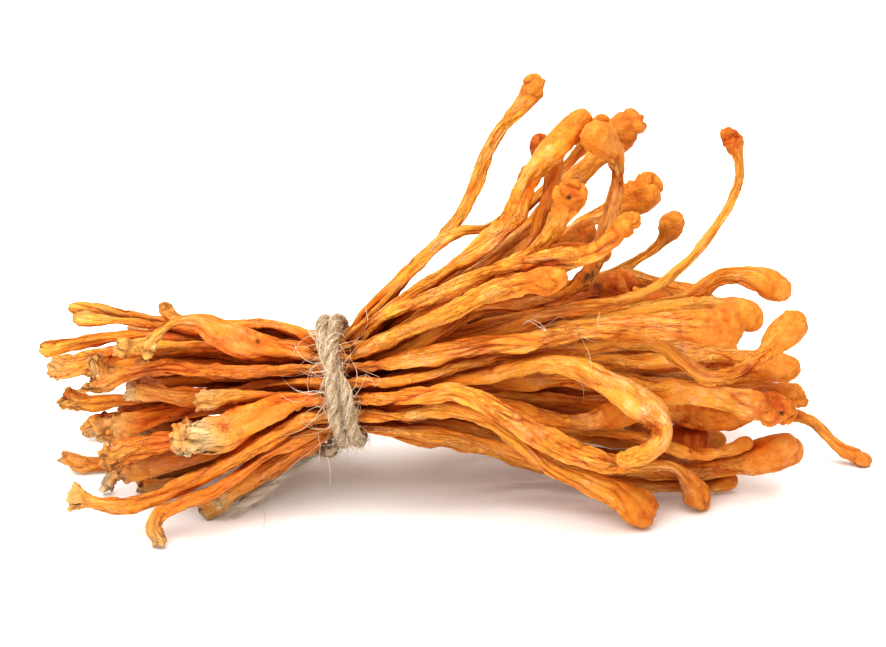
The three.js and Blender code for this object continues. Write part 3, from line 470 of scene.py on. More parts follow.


# Painted shade: dark darkens the bodies deep inside the bunch. Painted light: a high tone lightens upper
# ones.
CHARACTERS = {
    1: Character(Base.STRAW, Tip.CREASED, pale=0.1, bruise=0.7, twist=0.05, tone=0.9),
    2: Character(Base.STRAW, pale=0.1, twist=0.08),
    3: Character(Base.KNOB, pale=0.4, grey=0.2, tone=0.9),
    4: Character(Base.TORN, Tip.CREASED, bruise=1.0, dark=0.5),
    5: Character(Base.TORN, bruise=0.6, dark=0.25),
    6: Character(Base.TORN, Tip.SMOOTH, pale=0.3, bruise=0.35, wrinkled=1.3),
    7: Character(Base.STRAW, Tip.CREASED, pale=0.1, grey=0.6, wrinkled=1.2, tone=1.0),
    8: Character(Base.CURL, Tip.CREASED, pale=0.3, grey=0.3, wrinkled=1.1, tone=1.0),
    9: Character(Base.TORN, dark=0.45),
    10: Character(Base.CURL, Tip.CREASED, pale=0.3, grey=0.4, bruise=0.1, tone=1.0),
    11: Character(Base.CURL, Tip.CREASED, pale=0.45, grey=0.2, bruise=0.8, twist=0.12),
    12: Character(Base.TORN, bruise=0.1),
    13: Character(Base.CURL, pale=0.35, grey=0.3, bruise=0.15, wrinkled=1.15),
    14: Character(Base.TORN, bruise=0.1, wrinkled=0.8),
    16: Character(Base.FLARE, pale=0.55, grey=0.8, bruise=0.0, wrinkled=1.1),
    17: Character(Base.TORN, bruise=0.3),
    18: Character(Base.CURL, Tip.CREASED, pale=0.25, bruise=0.9),
    20: Character(Base.TORN, Tip.CREASED, pale=0.5, grey=0.2, twist=0.1, wrinkled=1.2),
    21: Character(Base.CURL, pale=0.2, grey=0.4, bruise=0.15, wrinkled=1.1),
    22: Character(Base.CURL, pale=0.5, grey=0.2),
    23: Character(Base.FLARE, Tip.CREASED, pale=0.3, grey=0.7, bruise=0.1),
    24: Character(Base.FLARE, Tip.SUNKEN, pale=0.3, grey=0.8, bruise=0.15, tone=1.0),
    25: Character(Base.KNOB, pale=0.5, grey=0.35, bruise=0.0, wrinkled=0.6, headless=True, tone=0.6),
    26: Character(Base.CRUST, pale=0.62, grey=0.2, bruise=0.0, wrinkled=1.2, headless=True, tone=0.6),
    27: Character(Base.CRUST, pale=0.5, grey=0.8, wrinkled=1.4),
    28: Character(Base.CURL, bruise=1.0, pale=0.3, grey=0.5, dark=0.3),
    29: Character(Base.STRAW, pale=0.4, grey=0.3, bruise=0.7, dark=0.3),
    31: Character(Base.FLARE, pale=0.6, grey=0.9),
    33: Character(Base.TORN, dark=0.6),
    38: Character(Base.TORN, dark=0.5),
    39: Character(Base.TORN, Tip.CREASED, bruise=0.5, dark=0.7),
    40: Character(Base.TORN, Tip.CREASED, bruise=0.9, wrinkled=1.4, dark=0.35),
    42: Character(Base.TORN, dark=0.6),
    48: Character(Base.TORN, dark=0.5),
    49: Character(Base.CURL, dark=0.7),
    51: Character(Base.TORN, dark=1.0, wrinkled=1.3),
    52: Character(Base.TORN, dark=0.9, wrinkled=1.3),
}

# Fruit bodies that lie at the back or deep inside: their grids are coarser.
BEHIND = frozenset({9, 15, 29, 33, 34, 35, 36, 37, 38, 39, *range(41, 53)})
COARSE_GRID = {"sides": 30, "step": 0.8, "fine_step": 0.3}


@dataclass(frozen=True)
class BaseForm:
    """The form of a cut end, each size as a share of the end's radius.

    Attributes:
        hollow: how deep the cut face has sunk.
        rag: how far the rim is torn back and forth.
        spread: how far the rim flares.
        lump: how high its lumps stand.
        crevice: how deep the crevices between its lumps are.
        grain: the height of the grit on it, in millimetres.
    """

    hollow: float
    rag: float
    spread: float
    lump: float
    crevice: float
    grain: float


BASE_FORMS = {
    Base.STRAW: BaseForm(0.8, 0.3, 0.0, 0.1, 0.1, 0.01),
    Base.KNOB: BaseForm(0.3, 0.2, 0.05, 0.45, 0.4, 0.05),
    Base.CURL: BaseForm(0.6, 0.7, 0.1, 0.6, 0.7, 0.05),
    Base.TORN: BaseForm(0.7, 0.9, 0.1, 0.35, 0.45, 0.04),
    Base.FLARE: BaseForm(1.2, 0.45, 0.3, 0.25, 0.3, 0.04),
    Base.CRUST: BaseForm(0.5, 0.8, 0.1, 0.5, 0.75, 0.13),
}


class Pattern(NamedTuple):
    """A noise on the skin of a fruit body.

    Attributes:
        round_size: the size of its features round the stem, in millimetres.
        long_size: their size along it.
        shift: where in the noise it is taken, so that no two patterns follow each other.
        amount: what it is scaled by: a height in millimetres, or a share.
    """

    round_size: float
    long_size: float
    shift: float
    amount: float = 1.0


# The patterns on the skin, each from its coarse layer to its fine one.
FOLD_PUSH = Pattern(2.2, 5.0, 31.0, 0.4)
FOLDS = (Pattern(1.35, 9.0, 0.0, 0.46), Pattern(0.72, 4.6, 11.3, 0.3), Pattern(0.42, 2.0, 22.6, 0.16))
BEND_WRINKLES = Pattern(1.6, 0.75, 43.0, 0.3)
STEM_SWELLS = (Pattern(1.7, 2.6, 57.0, 0.22), Pattern(0.7, 0.85, 61.0, 0.1))
CLUB_SWELLS = (Pattern(2.0, 2.6, 71.0, 0.26), Pattern(0.8, 1.0, 77.0, 0.07), Pattern(0.36, 0.42, 83.0, 0.05))
CLUB_WRINKLES = Pattern(1.1, 2.4, 79.0, 0.13)
RIM_TEARS = Pattern(0.8, 60.0, 5.0)
BASE_LUMPS = (Pattern(1.0, 1.3, 19.0), Pattern(0.5, 0.6, 21.0, 0.6))
BASE_CREVICES = Pattern(1.0, 1.9, 23.0, 0.6)
FINE_CREVICES = Pattern(0.5, 0.9, 27.0, 0.6)
BASE_GRIT = Pattern(0.3, 0.34, 29.0, 2.2)
TIP_CREASES = (Pattern(1.5, 2.6, 131.0), Pattern(0.8, 1.4, 137.0, 0.35))
PATCHES = Pattern(1.6, 2.4, 203.0)


@dataclass
class FruitBody:
    """One dried fruit body: a furrowed stem that swells into a club, and the end that was cut off.

    Its surface is a grid over two parameters: the length from the base and the angle round it. The smooth
    form is a cubic through the rings of its node, and each feature is a height in millimetres added along
    its normals.

    Attributes:
        number: its number in the bunch.
        character: what sets it apart.
        skin: the skin of its node.
        facing: the share of the room that each point of the skin faces: rings, sides.
        sides: vertices round it.
        step: millimetres between rows of vertices on the stem.
        fine_step: millimetres between rows of vertices at the two ends.
        fine_base: how far the fine rows reach from the base, in millimetres.
        fine_tip: how far they reach from the tip.
        furrows: how many furrows run along it.
        furrow_depth: the depth of a furrow, as a share of the radius.
        furrow_width: the half width of a furrow, in radians.
        collapse: how far the section has collapsed into an oval, as a share of the radius.
        full_radius: the radius in millimetres from which the folds have their full depth.
    """

    number: int
    character: Character
    skin: RingSkin
    facing: np.ndarray
    sides: int = 46
    step: float = 0.52
    fine_step: float = 0.22
    fine_base: float = 5.0
    fine_tip: float = 3.2
    furrows: int = 5
    furrow_depth: float = 0.3
    furrow_width: float = 0.15
    collapse: float = 0.13
    full_radius: float = 1.3
    noise: Noise = field(init=False)
    draw: np.random.Generator = field(init=False)

    def __post_init__(self) -> None:
        """Seeds the draws with the body's own number."""
        self.noise = Noise(self.number)
        self.draw = np.random.default_rng(4200 + self.number)

    @staticmethod
    def name_of(number: int) -> str:
        """The name of a fruit body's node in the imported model."""
        return f"fruit_body_{number:02d}"

    def build(self) -> bpy.types.Object:
        """Makes the dressed fruit body that stands for its node.

        Returns:
            The new piece, with the attributes that its material reads.
        """
        self._lay_grid()
        self._measure()
        self._find_parts()
        relief = self._furrow_field() + self._folds() + self._bend_wrinkles()
        height = relief + self._form() + self._swells()
        self.grid += self.normal * (height * self._within_ends())[..., None]
        self._shape_base()
        self._shape_tip()
        self.grid[..., 2] = np.maximum(self.grid[..., 2], 0.0)
        return self._as_object(relief)

    def _lay_grid(self) -> None:
        """Carries the smooth surface through the rings, and the share of the room that each point faces."""
        knots = self.skin.lengths()
        self.total = knots[-1]
        self.rim = float(knots[2])
        base = np.arange(0.0, self.fine_base, self.fine_step)
        tip = np.arange(0.0, self.fine_tip, self.fine_step)
        rows = max(8, round((self.total - self.fine_base - self.fine_tip) / self.step))
        middle = np.linspace(self.fine_base, self.total - self.fine_tip, rows)
        self.length = np.concatenate([base, middle, (self.total - tip)[::-1]])
        rings = np.concatenate([self.skin.rings, self.facing[..., None]], axis=2)
        lap = 3
        wrapped = np.concatenate([rings[:, -lap:], rings, rings[:, :lap]], axis=1)
        turn = np.arange(self.sides) * (RING_SIDES / self.sides)
        stations = np.arange(-float(lap), RING_SIDES + lap)
        round_it = through(wrapped.swapaxes(0, 1), stations, turn).swapaxes(0, 1)
        carried = through(round_it, knots, self.length)
        self.grid = carried[..., :3].copy()
        self.open = carried[..., 3]
        self.angle = np.arange(self.sides) * (2.0 * math.pi / self.sides)

    def _measure(self) -> None:
        """Finds the middle line, the radius and the normals.

        The rows of the cut face and of the crown are nearly flat, so the line's direction there is the one
        from a little further in.
        """
        self.middle = self.grid.mean(axis=1)
        away = self.grid - self.middle[:, None]
        self.radius = np.linalg.norm(away, axis=2).mean(axis=1)
        self.direction = unit(np.gradient(self.middle, axis=0))
        self.face = self.length < self.rim + 0.4
        self.direction[self.face] = self._way(self.rim, self.rim + 2.5)
        self.direction[self.length > self.total - 1.2] = self._way(self.total - 3.5, self.total - 1.0)
        across = np.roll(self.grid, -1, axis=1) - np.roll(self.grid, 1, axis=1)
        normal = np.cross(across, np.gradient(self.grid, axis=0))
        self.normal = unit(normal * np.sign((normal * away).sum(-1).sum()))
        self.normal[0] = -self.direction[0]
        self.normal[-1] = self.direction[-1]

    def _find_parts(self) -> None:
        """Finds the stem, the club and the cut end: radii, the neck, and how far each row is of the club.

        The neck is where the radius last passes halfway from the stem's to the head's, two to three and a
        half of the head's radii before the end. The taper is how far a row of the face or the crown has
        closed in.
        """
        rows = len(self.radius)
        self.stem_radius = float(np.median(self.radius[rows // 3: 2 * rows // 3]))
        widest = np.argmax(np.where(self.length > 0.72 * self.total, self.radius, 0.0))
        head_radius = self.radius[widest]
        thin = self.radius < 0.5 * (self.stem_radius + head_radius)
        before = np.flatnonzero(thin & (np.arange(rows) < widest))
        neck = self.length[before[-1]] if len(before) else self.length[widest] - 3.0
        self.neck = float(np.clip(neck, self.total - 3.4 * head_radius, self.total - 2.0 * head_radius))
        self.club = smoothstep(self.neck - 1.6, self.neck + 2.0, self.length)
        if self.character.headless:
            self.club = np.zeros_like(self.club)
        self.base_radius = float(self.radius[self.length > self.rim][0])
        on_face = np.minimum(1.0, self.radius / self.base_radius)
        on_crown = np.minimum(1.0, self.radius / (0.85 * head_radius))
        crown = self.length > self.total - 1.6 * head_radius
        self.taper = np.where(self.face, on_face, np.where(crown, on_crown, 1.0))

    def _way(self, start: float, end: float) -> np.ndarray:
        """The direction of the middle line from one length to another."""
        first, last = np.searchsorted(self.length, (start, end))
        return unit(self.middle[last] - self.middle[first])

    def _places(self, round_size: float, long_size: float) -> np.ndarray:
        """Where each vertex lies in a noise whose features have these sizes in millimetres."""
        turned = self.angle[None] + self.character.twist * self.length[:, None]
        reach = (self.stem_radius / round_size * self.taper)[:, None]
        along = np.broadcast_to((self.length / long_size)[:, None], turned.shape)
        return np.stack([np.cos(turned) * reach, np.sin(turned) * reach, along], axis=-1)

    def _noise(self, pattern: Pattern, push: np.ndarray | None = None) -> np.ndarray:
        """A pattern's noise at each vertex, its places moved sideways where a push is given."""
        places = self._places(pattern.round_size, pattern.long_size) + pattern.shift
        if push is not None:
            places[..., :2] += push[..., None]
        return self.noise.at(places)

    def _layers(self, patterns: tuple[Pattern, ...]) -> np.ndarray:
        """The sum of several patterns, each times its amount."""
        return sum(pattern.amount * self._noise(pattern) for pattern in patterns)

    def _along(self, wave: float, track: float) -> np.ndarray:
        """A noise along the body with waves of this length in millimetres; each track is another noise."""
        return self.noise.along(self.length / wave, track)

    def _form(self) -> np.ndarray:
        """The collapsed section: an oval and a three-cornered wave round it, both turning slowly along it."""
        lobes = np.zeros_like(self.grid[..., 0])
        for corners, share, track in ((2, 1.0, 3.0), (3, 0.65, 5.0)):
            phase = 4.0 * self._along(16.0, track) + self.character.twist * self.length
            amount = share * self.collapse * (0.55 + 0.9 * self._along(7.0, track + 9.0))
            lobes += np.cos(corners * (self.angle[None] - phase[:, None])) * amount[:, None]
        swell = 0.13 * self._along(4.5, 40.0) + 0.04 * self._along(1.5, 41.0)
        calm = 1.0 - 0.6 * self.club
        return (lobes + swell[:, None]) * (self.radius * calm)[:, None]

    def _furrow_field(self) -> np.ndarray:
        """The furrows: each wanders round the stem as it runs along it, deepens, fades and comes back.

        A furrow's section is an exponential of the angle from its line, so it has a sharp bottom and round
        shoulders.
        """
        depth = np.zeros_like(self.grid[..., 0])
        starts = np.arange(self.furrows) * (2.0 * math.pi / self.furrows)
        starts = starts + self.draw.uniform(-0.4, 0.4, self.furrows)
        fade = 1.0 - 0.9 * self.club
        for order, start in enumerate(starts):
            track = 3.1 * order
            line = start + 0.9 * self._along(12.0, 60.0 + track) + 0.18 * self._along(2.4, 160.0 + track)
            line += self.character.twist * self.length
            away = np.abs(np.angle(np.exp(1j * (self.angle[None] - line[:, None]))))
            width = self.furrow_width * self.draw.uniform(0.7, 1.8)
            strength = np.clip(0.4 + 1.5 * self._along(9.0, 90.0 + 2.7 * order), 0.0, 1.15)
            depth += np.exp(-np.sqrt(away**2 + 0.003) / width) * (strength * fade)[:, None]
        return -depth * (self.radius * self.furrow_depth * self.character.wrinkled)[:, None]

    def _folds(self) -> np.ndarray:
        """Puffy folds along the grain with sharp creases between them, at three sizes.

        A crease follows where a noise crosses nought, and the noise's places are pushed sideways by a
        coarser one. A fold's section is the square root of the noise's size, so it rises steeply from the
        crease and rounds off.
        """
        calm = 1.0 - 0.55 * self.club
        scale = np.minimum(1.0, self.radius / self.full_radius) * calm * self.character.wrinkled
        push = FOLD_PUSH.amount * self._noise(FOLD_PUSH)
        height = np.zeros_like(self.grid[..., 0])
        self.crease = np.zeros_like(height)
        for order, fold in enumerate(FOLDS):
            value = self._noise(fold, push)
            swing = self._along(7.0, 17.0 + 2.0 * order)
            strength = ((0.35 + 0.9 * smoothstep(-0.3, 0.3, swing)) * scale)[:, None]
            height += fold.amount * strength * puff(value, 0.42)
            self.crease = np.maximum(self.crease, crossing(value, 0.13) * strength * (1.0 - 0.28 * order))
        return height

    def _bend_wrinkles(self) -> np.ndarray:
        """Wrinkles across the stem, on the inside of its bends and round the neck of the club."""
        turning = np.gradient(self.direction, self.length, axis=0)
        inside = np.einsum("ijk,ik->ij", self.normal, turning)
        neck = np.exp(-(((self.length - self.neck) / 2.2) ** 2))[:, None]
        where = np.clip(smoothstep(0.015, 0.07, inside) + 0.5 * neck, 0.0, 1.0)
        where = where * np.minimum(1.0, self.radius / self.full_radius)[:, None]
        value = self._noise(BEND_WRINKLES)
        self.crease = np.maximum(self.crease, 0.8 * where * crossing(value, 0.15))
        return BEND_WRINKLES.amount * where * puff(value, 0.4)

    def _swells(self) -> np.ndarray:
        """Soft dents and swellings of the stem, and the dents, wrinkles and pimples of the club."""
        club = self.club[:, None]
        wrinkle = crossing(self._noise(CLUB_WRINKLES), 0.16)
        self.crease = np.maximum(self.crease, 0.5 * club * wrinkle**2)
        on_club = self._layers(CLUB_SWELLS) - CLUB_WRINKLES.amount * wrinkle
        return (1.0 - club) * self._layers(STEM_SWELLS) + club * on_club

    def _within_ends(self) -> np.ndarray:
        """Keeps the heights from turning the poles inside out: nought at a pole, one a little way along."""
        rise = np.minimum(self.length, self.total - self.length)
        return smoothstep(0.0, 0.9, rise)[:, None]

    def _shape_base(self) -> None:
        """Gives the cut end its form: the sunken face, the torn rim, the lumps and the crevices between them.

        The face's rows go inwards; the rim's rows go in and out by a noise round it; lumps and grit are a
        noise's height, and a crevice follows where another noise crosses nought.
        """
        form = BASE_FORMS[self.character.base]
        size = self.base_radius
        rim = np.exp(-(((self.length - self.rim) / (0.5 * size)) ** 2))[:, None]
        face = (1.0 - smoothstep(0.1 * self.rim, 0.95 * self.rim, self.length))[:, None]
        near = (1.0 - smoothstep(self.rim, self.rim + 3.5 * size, self.length))[:, None] * self._within_ends()
        torn = np.clip(self._noise(RIM_TEARS), -0.35, 0.5)
        fine = FINE_CREVICES.amount * crossing(self._noise(FINE_CREVICES), 0.25)
        crevice = np.maximum(crossing(self._noise(BASE_CREVICES), 0.2) ** 1.2, fine)
        inward = (face * form.hollow + rim * torn * form.rag) * size
        self.grid += self.direction[:, None] * inward[..., None]
        lumps = 0.7 * form.lump * self._layers(BASE_LUMPS) - BASE_CREVICES.amount * form.crevice * crevice
        push = rim * form.spread * size + near * lumps * size
        push = push + near * form.grain * BASE_GRIT.amount * self._noise(BASE_GRIT)
        self.grid += self.normal * push[..., None]
        inside = (1.0 - smoothstep(0.3 * self.rim, 0.8 * self.rim, self.length))[:, None]
        # The cavity marks where the material paints shade: the crevices and the sunken cut face.
        self.cavity = np.clip(near * form.crevice * crevice * 1.2 + inside * form.hollow, 0.0, 1.0)

    def _shape_tip(self) -> None:
        """Gives the club's end its form: a sunken middle with radial wrinkles, or deep creases."""
        size = float(self.radius[self.length > self.neck].max())
        back = self.total - self.length
        if self.character.tip is Tip.SUNKEN:
            bowl = np.exp(-((back / (0.75 * size)) ** 2))[:, None]
            ray = np.cos(9.0 * self.angle + 2.0 * self.noise.along(self.angle, 7.0))[None]
            rays = np.exp(-(((back - 0.9 * size) / (0.6 * size)) ** 2))[:, None]
            self.grid -= self.direction[:, None] * (bowl * 0.55 * size)[..., None]
            self.grid += self.normal * (0.05 * size * rays * ray)[..., None]
        if self.character.tip is Tip.CREASED:
            deep = crossing(self._layers(TIP_CREASES), 0.24)
            club = (self.club * smoothstep(0.0, 0.8, back))[:, None]
            self.crease = np.maximum(self.crease, 0.75 * club * deep**3)
            self.grid -= self.normal * (0.3 * size * deep * club)[..., None]

    def _as_object(self, relief: np.ndarray) -> bpy.types.Object:
        """Makes the mesh, each pole one vertex, and writes what the material reads.

        Args:
            relief: the height of the furrows and folds over the smooth form, nought or less.

        Returns:
            The new object.
        """
        inner = self.grid[1:-1]
        points = np.vstack([inner.reshape(-1, 3), self.grid[0].mean(axis=0), self.grid[-1].mean(axis=0)])
        quads, fans = tube_faces(len(inner), self.sides), pole_fans(len(inner), self.sides)
        if self._faces_inwards(points, quads):
            quads, fans = quads[:, ::-1], fans[:, ::-1]
        made = new_mesh_object(self.name_of(self.number) + "_dressed", points, [quads, fans])
        self._write_attributes(made, relief)
        return made

    @staticmethod
    def _faces_inwards(points: np.ndarray, quads: np.ndarray) -> bool:
        """Whether the faces enclose a negative volume, the sum of each face's share of it."""
        a, b, c, d = (points[quads[:, k]] for k in range(4))
        return float((np.cross(c - a, d - b) * (a + c)).sum()) < 0.0

    def _write_attributes(self, made: bpy.types.Object, relief: np.ndarray) -> None:
        """Writes the grain, the relief, the club, the crust, the bruise and the body's own tone."""
        character = self.character
        length = self.length[:, None]
        drawn = self.draw.uniform(0.0, 1.0)
        places = self._places(1.0, 1.0) + 20.0 * self.number
        patch = self._noise(PATCHES)
        reach = self.rim + 1.4 + 5.0 * character.pale
        crust = character.pale * (1.0 - smoothstep(0.35 * reach, 1.6 * reach, length)) * (1.0 + 1.1 * patch)
        # relief, crease, cavity and openness mark where the material paints shade, and so does dark on inner
        # bodies.
        numbers = {
            "relief": -relief / 0.5 - 0.3,
            "crease": self.crease,
            "club": self.club[:, None],
            "crust": crust,
            "cavity": self.cavity,
            "dark": character.dark,
            "openness": self.open,
            "base_stretch": (1.0 - smoothstep(15.0, 50.0, length)) * smoothstep(1.0, 14.0, length),
            "bruise": character.bruise * self.club[:, None] * (0.45 + 1.4 * patch),
            "greyness": character.grey,
            "tone": drawn if character.tone is None else character.tone,
        }
        poles = [places[0].mean(axis=0), places[-1].mean(axis=0)]
        set_vector(made, "grain", np.vstack([places[1:-1].reshape(-1, 3), *poles]))
        for name, values in numbers.items():
            full = np.broadcast_to(np.clip(values, 0.0, 1.0), self.grid.shape[:2])
            set_number(made, name, np.concatenate([full[1:-1].ravel(), [full[0].mean(), full[-1].mean()]]))


@dataclass(frozen=True)
class Mark:
    """A scar, stain or pit, by its place in the photograph.

    Attributes:
        kind: the attribute that it is written to.
        place: pixels across and down.
        size: its radius in millimetres, over which it is full up to CORE and gone at EDGE.
    """

    kind: str
    place: tuple[float, float]
    size: float

    CORE = 0.6
    EDGE = 1.4

    def strength(self, off: np.ndarray) -> np.ndarray:
        """How strong the mark is at distances in millimetres from its middle."""
        return 1.0 - smoothstep(self.CORE * self.size, self.EDGE * self.size, off)


# The marks that the photograph shows.
MARKS = (
    Mark("scar", (646.0, 410.0), 0.45),
    Mark("stain", (594.0, 280.0), 1.5),
    Mark("stain", (599.0, 290.0), 0.9),
    Mark("rust", (775.0, 407.0), 2.2),
    Mark("pit", (781.0, 413.0), 0.22),
    # Partly painted shade: this club lies in shade at the lower right, and is rusty brown as well.
    Mark("rust", (690.0, 437.0), 2.8),
    Mark("rust", (751.0, 375.0), 1.4),
    Mark("rust", (731.0, 137.0), 1.3),
    Mark("rust", (650.0, 510.0), 1.6),
    Mark("rust", (538.0, 143.0), 1.3),
    Mark("rust", (652.0, 430.0), 1.0),
    Mark("rust", (568.0, 197.0), 1.7),
    Mark("pit", (569.0, 197.0), 0.3),
    Mark("rust", (640.0, 190.0), 1.1),
    Mark("pit", (706.0, 322.0), 0.2),
    Mark("pit", (238.0, 419.0), 0.14),
    Mark("pit", (258.0, 341.0), 0.25),
)


@dataclass
class Bunch:
    """All the fruit bodies of the bunch.

    Attributes:
        studio: the studio, whose camera finds the places of the marks.
        count: how many there are.
    """

    studio: Studio
    count: int = 52

    def character_of(self, number: int) -> Character:
        """The character of a fruit body: as seen in the bunch, or drawn for one that hides at the back."""
        if number in CHARACTERS:
            return CHARACTERS[number]
        draw = np.random.default_rng(700 + number)
        return Character(
            base=draw.choice(np.array([Base.STRAW, Base.TORN, Base.CURL, Base.FLARE], dtype=object)),
            tip=draw.choice(np.array([Tip.SMOOTH, Tip.SMOOTH, Tip.CREASED], dtype=object)),
            pale=float(draw.uniform(0.2, 0.8)),
            grey=float(draw.uniform(0.1, 0.7)),
            bruise=float(draw.uniform(0.0, 0.6)),
            wrinkled=float(draw.uniform(0.85, 1.25)),
            twist=float(draw.uniform(-0.05, 0.07)),
        )

    def build(self, flesh: bpy.types.Material) -> list[bpy.types.Object]:
        """Builds and dresses every fruit body.

        Args:
            flesh: the material of the dried flesh.

        Returns:
            The new pieces.
        """
        pieces = []
        names = [FruitBody.name_of(number) for number in range(1, self.count + 1)]
        skins = [RingSkin.of_node(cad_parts[name]) for name in names]
        openness = Openness(skins)
        for number, (name, skin) in enumerate(zip(names, skins), start=1):
            grid = COARSE_GRID if number in BEHIND else {}
            body = FruitBody(number, self.character_of(number), skin, openness.of(skin), **grid)
            made = body.build()
            made.data.materials.append(flesh)
            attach(made, BODY)
            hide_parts(name)
            log.info("%s: %d faces, %.0f mm long", made.name, len(made.data.polygons), body.total)
            pieces.append(made)
        for mark in MARKS:
            self._write_mark(mark, pieces, openness.tree)
        return pieces

    def _write_mark(self, mark: Mark, pieces: list[bpy.types.Object], tree: BVHTree) -> None:
        """Writes a mark on the skin that the camera's ray meets, and on what lies beside it at that depth.

        Args:
            mark: the mark.
            pieces: the dressed fruit bodies.
            tree: the search tree of the skins.
        """
        origin, ways = self.studio.rays(np.array([mark.place]))
        depth = tree.ray_cast(Vector(origin), Vector(ways[0]))[3]
        if depth is None:
            log.warning("no skin under the mark at %s", mark.place)
            return
        for piece in pieces:
            away = vertex_places(piece.data) - origin
            along = away @ ways[0]
            off = np.linalg.norm(away - along[:, None] * ways[0], axis=1)
            near = (off < mark.EDGE * mark.size) & (np.abs(along - depth) < 1.0 + mark.size)
            if near.any():
                values = np.zeros(len(off))
                if mark.kind in piece.data.attributes:
                    piece.data.attributes[mark.kind].data.foreach_get("value", values)
                    piece.data.attributes.remove(piece.data.attributes[mark.kind])
                values[near] = np.maximum(values[near], mark.strength(off[near]))
                set_number(piece, mark.kind, values)


# Twine


@dataclass
class Twine:
    """The jute twine: three plies laid round each other, with loose fibres, wound twice round the waist.

    Attributes:
        plies: how many plies are laid round each other.
        lay: the length of one turn of a ply round the twine.
        ply_share: the radius of a ply as a share of the twine's.
        lobes: fibre bundles that show round a ply.
        bundle_lay: the length of one turn of a bundle round its ply.
        fray_length: over what length the cut ends have opened.
        step: millimetres between rows of vertices.
        sides: vertices round a ply.
        surface_fibres: fibres that lie on the plies.
        short_fibres: fibres that stand off.
        end_fibres: fibres that splay from each end.
        fibre_radius: the radius of a jute fibre as drawn, a little over the real 0.02 to show in the render.
        fibre_sides: vertices round a fibre.
        over_floor: the least height of a fibre's middle line.
    """

    plies: int = 3
    lay: float = 8.5
    ply_share: float = 0.6
    lobes: int = 5
    bundle_lay: float = 3.1
    fray_length: float = 1.2
    step: float = 0.26
    sides: int = 18
    surface_fibres: int = 1800
    short_fibres: int = 1300
    end_fibres: int = 110
    fibre_radius: float = 0.032
    fibre_sides: int = 3
    over_floor: float = 0.02
    draw: np.random.Generator = field(default_factory=lambda: np.random.default_rng(77))
    noise: Noise = field(default_factory=lambda: Noise(77))

    def read_route(self) -> None:
        """Reads the middle line and the radius from the rings of the node, and carries frames along it."""
        skin = RingSkin.of_node(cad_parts[TWINE_NODE])
        middles = skin.middles()[1:-1]
        radii = np.linalg.norm(skin.rings[1:-1] - middles[:, None], axis=2).mean(axis=1)
        knots = np.concatenate([[0.0], np.cumsum(np.linalg.norm(np.diff(middles, axis=0), axis=1))])
        self.length = np.linspace(0.0, knots[-1], round(knots[-1] / self.step))
        self.middle = through(middles, knots, self.length)
        self.radius = through(radii, knots, self.length)
        self.forward = unit(np.gradient(self.middle, axis=0))
        self.side = self._carried(self.forward)
        self.over = np.cross(self.forward, self.side)

    @staticmethod
    def _carried(forward: np.ndarray) -> np.ndarray:
        """A direction square to the line, which turns as little as it can from each station to the next."""
        side = np.empty_like(forward)
        side[0] = unit(np.cross(forward[0], np.array([0.3, 0.2, 0.93])))
        for station in range(1, len(forward)):
            kept = side[station - 1] - forward[station] * np.dot(side[station - 1], forward[station])
            side[station] = kept / np.linalg.norm(kept)
        return side

    def ply_centre(self, ply: int, length: np.ndarray, share: float = 1.0) -> np.ndarray:
        """The middle of a ply: the twine's middle plus a small circle round it that turns once a lay.

        Args:
            ply: which ply.
            length: the places along the twine.
            share: how much of the circle's radius is used.

        Returns:
            The points.
        """
        turn = 2.0 * math.pi * (length / self.lay + ply / self.plies)
        turn = turn + 0.5 * self.noise.along(length / 9.0, 3.0)
        radius = self.at(self.radius, length) * (1.0 - self.ply_share) * share
        side, over = self.at(self.side, length), self.at(self.over, length)
        across = side * np.cos(turn)[:, None] + over * np.sin(turn)[:, None]
        return self.at(self.middle, length) + across * radius[:, None]

    def at(self, values: np.ndarray, length: np.ndarray) -> np.ndarray:
        """The values of the twine's rows at places between them, taken in a straight line."""
        place = np.clip(length / self.length[-1] * (len(self.length) - 1), 0, len(self.length) - 1.001)
        low = place.astype(int)
        share = place - low
        if values.ndim == 2:
            share = share[:, None]
        return values[low] * (1.0 - share) + values[low + 1] * share

    def build_plies(self) -> bpy.types.Object:
        """Makes the plies: a tube along each ply's middle, lobed by fibre bundles that turn backwards.

        Returns:
            One object with the plies, closed at both ends by a fan.
        """
        points, faces, fans, places = [], [], [], []
        first = 0
        angle = np.arange(self.sides) * (2.0 * math.pi / self.sides)
        for ply in range(self.plies):
            centre = self.ply_centre(ply, self.length)
            forward = unit(np.gradient(centre, axis=0))
            side = self._carried(forward)
            over = np.cross(forward, side)
            turned = angle[None] - (2.0 * math.pi * self.length / self.bundle_lay)[:, None]
            ring = side[:, None] * np.cos(angle)[:, None] + over[:, None] * np.sin(angle)[:, None]
            grid = centre[:, None] + ring * self._ply_radius(ply, turned)[..., None]
            points += [grid.reshape(-1, 3), centre[:1], centre[-1:]]
            faces.append(tube_faces(len(grid), self.sides, first))
            fans.append(pole_fans(len(grid), self.sides, first))
            grain = self._unrolled(turned, 1.0, 1.0) + 9.0 * ply
            places += [grain.reshape(-1, 3), grain[0, :1], grain[-1, :1]]
            first += len(grid) * self.sides + 2
        points = np.vstack(points)
        points[:, 2] = np.maximum(points[:, 2], 0.0)
        made = new_mesh_object("twine_plies", points, [np.vstack(faces), np.vstack(fans)])
        set_vector(made, "grain", np.vstack(places))
        painted_end_light = self._painted_end_light(self.length)
        of_ply = np.concatenate([np.repeat(painted_end_light, self.sides), painted_end_light[[0, -1]]])
        set_number(made, "painted_end_light", np.tile(of_ply, self.plies))
        return made

    def _unrolled(self, turned: np.ndarray, across: float, wave: float) -> np.ndarray:
        """Places in a noise for the rows of a ply: a circle round it, and the length over the wave."""
        along = np.broadcast_to((self.length / wave)[:, None], turned.shape)
        return np.stack([np.cos(turned) * across, np.sin(turned) * across, along], axis=-1)

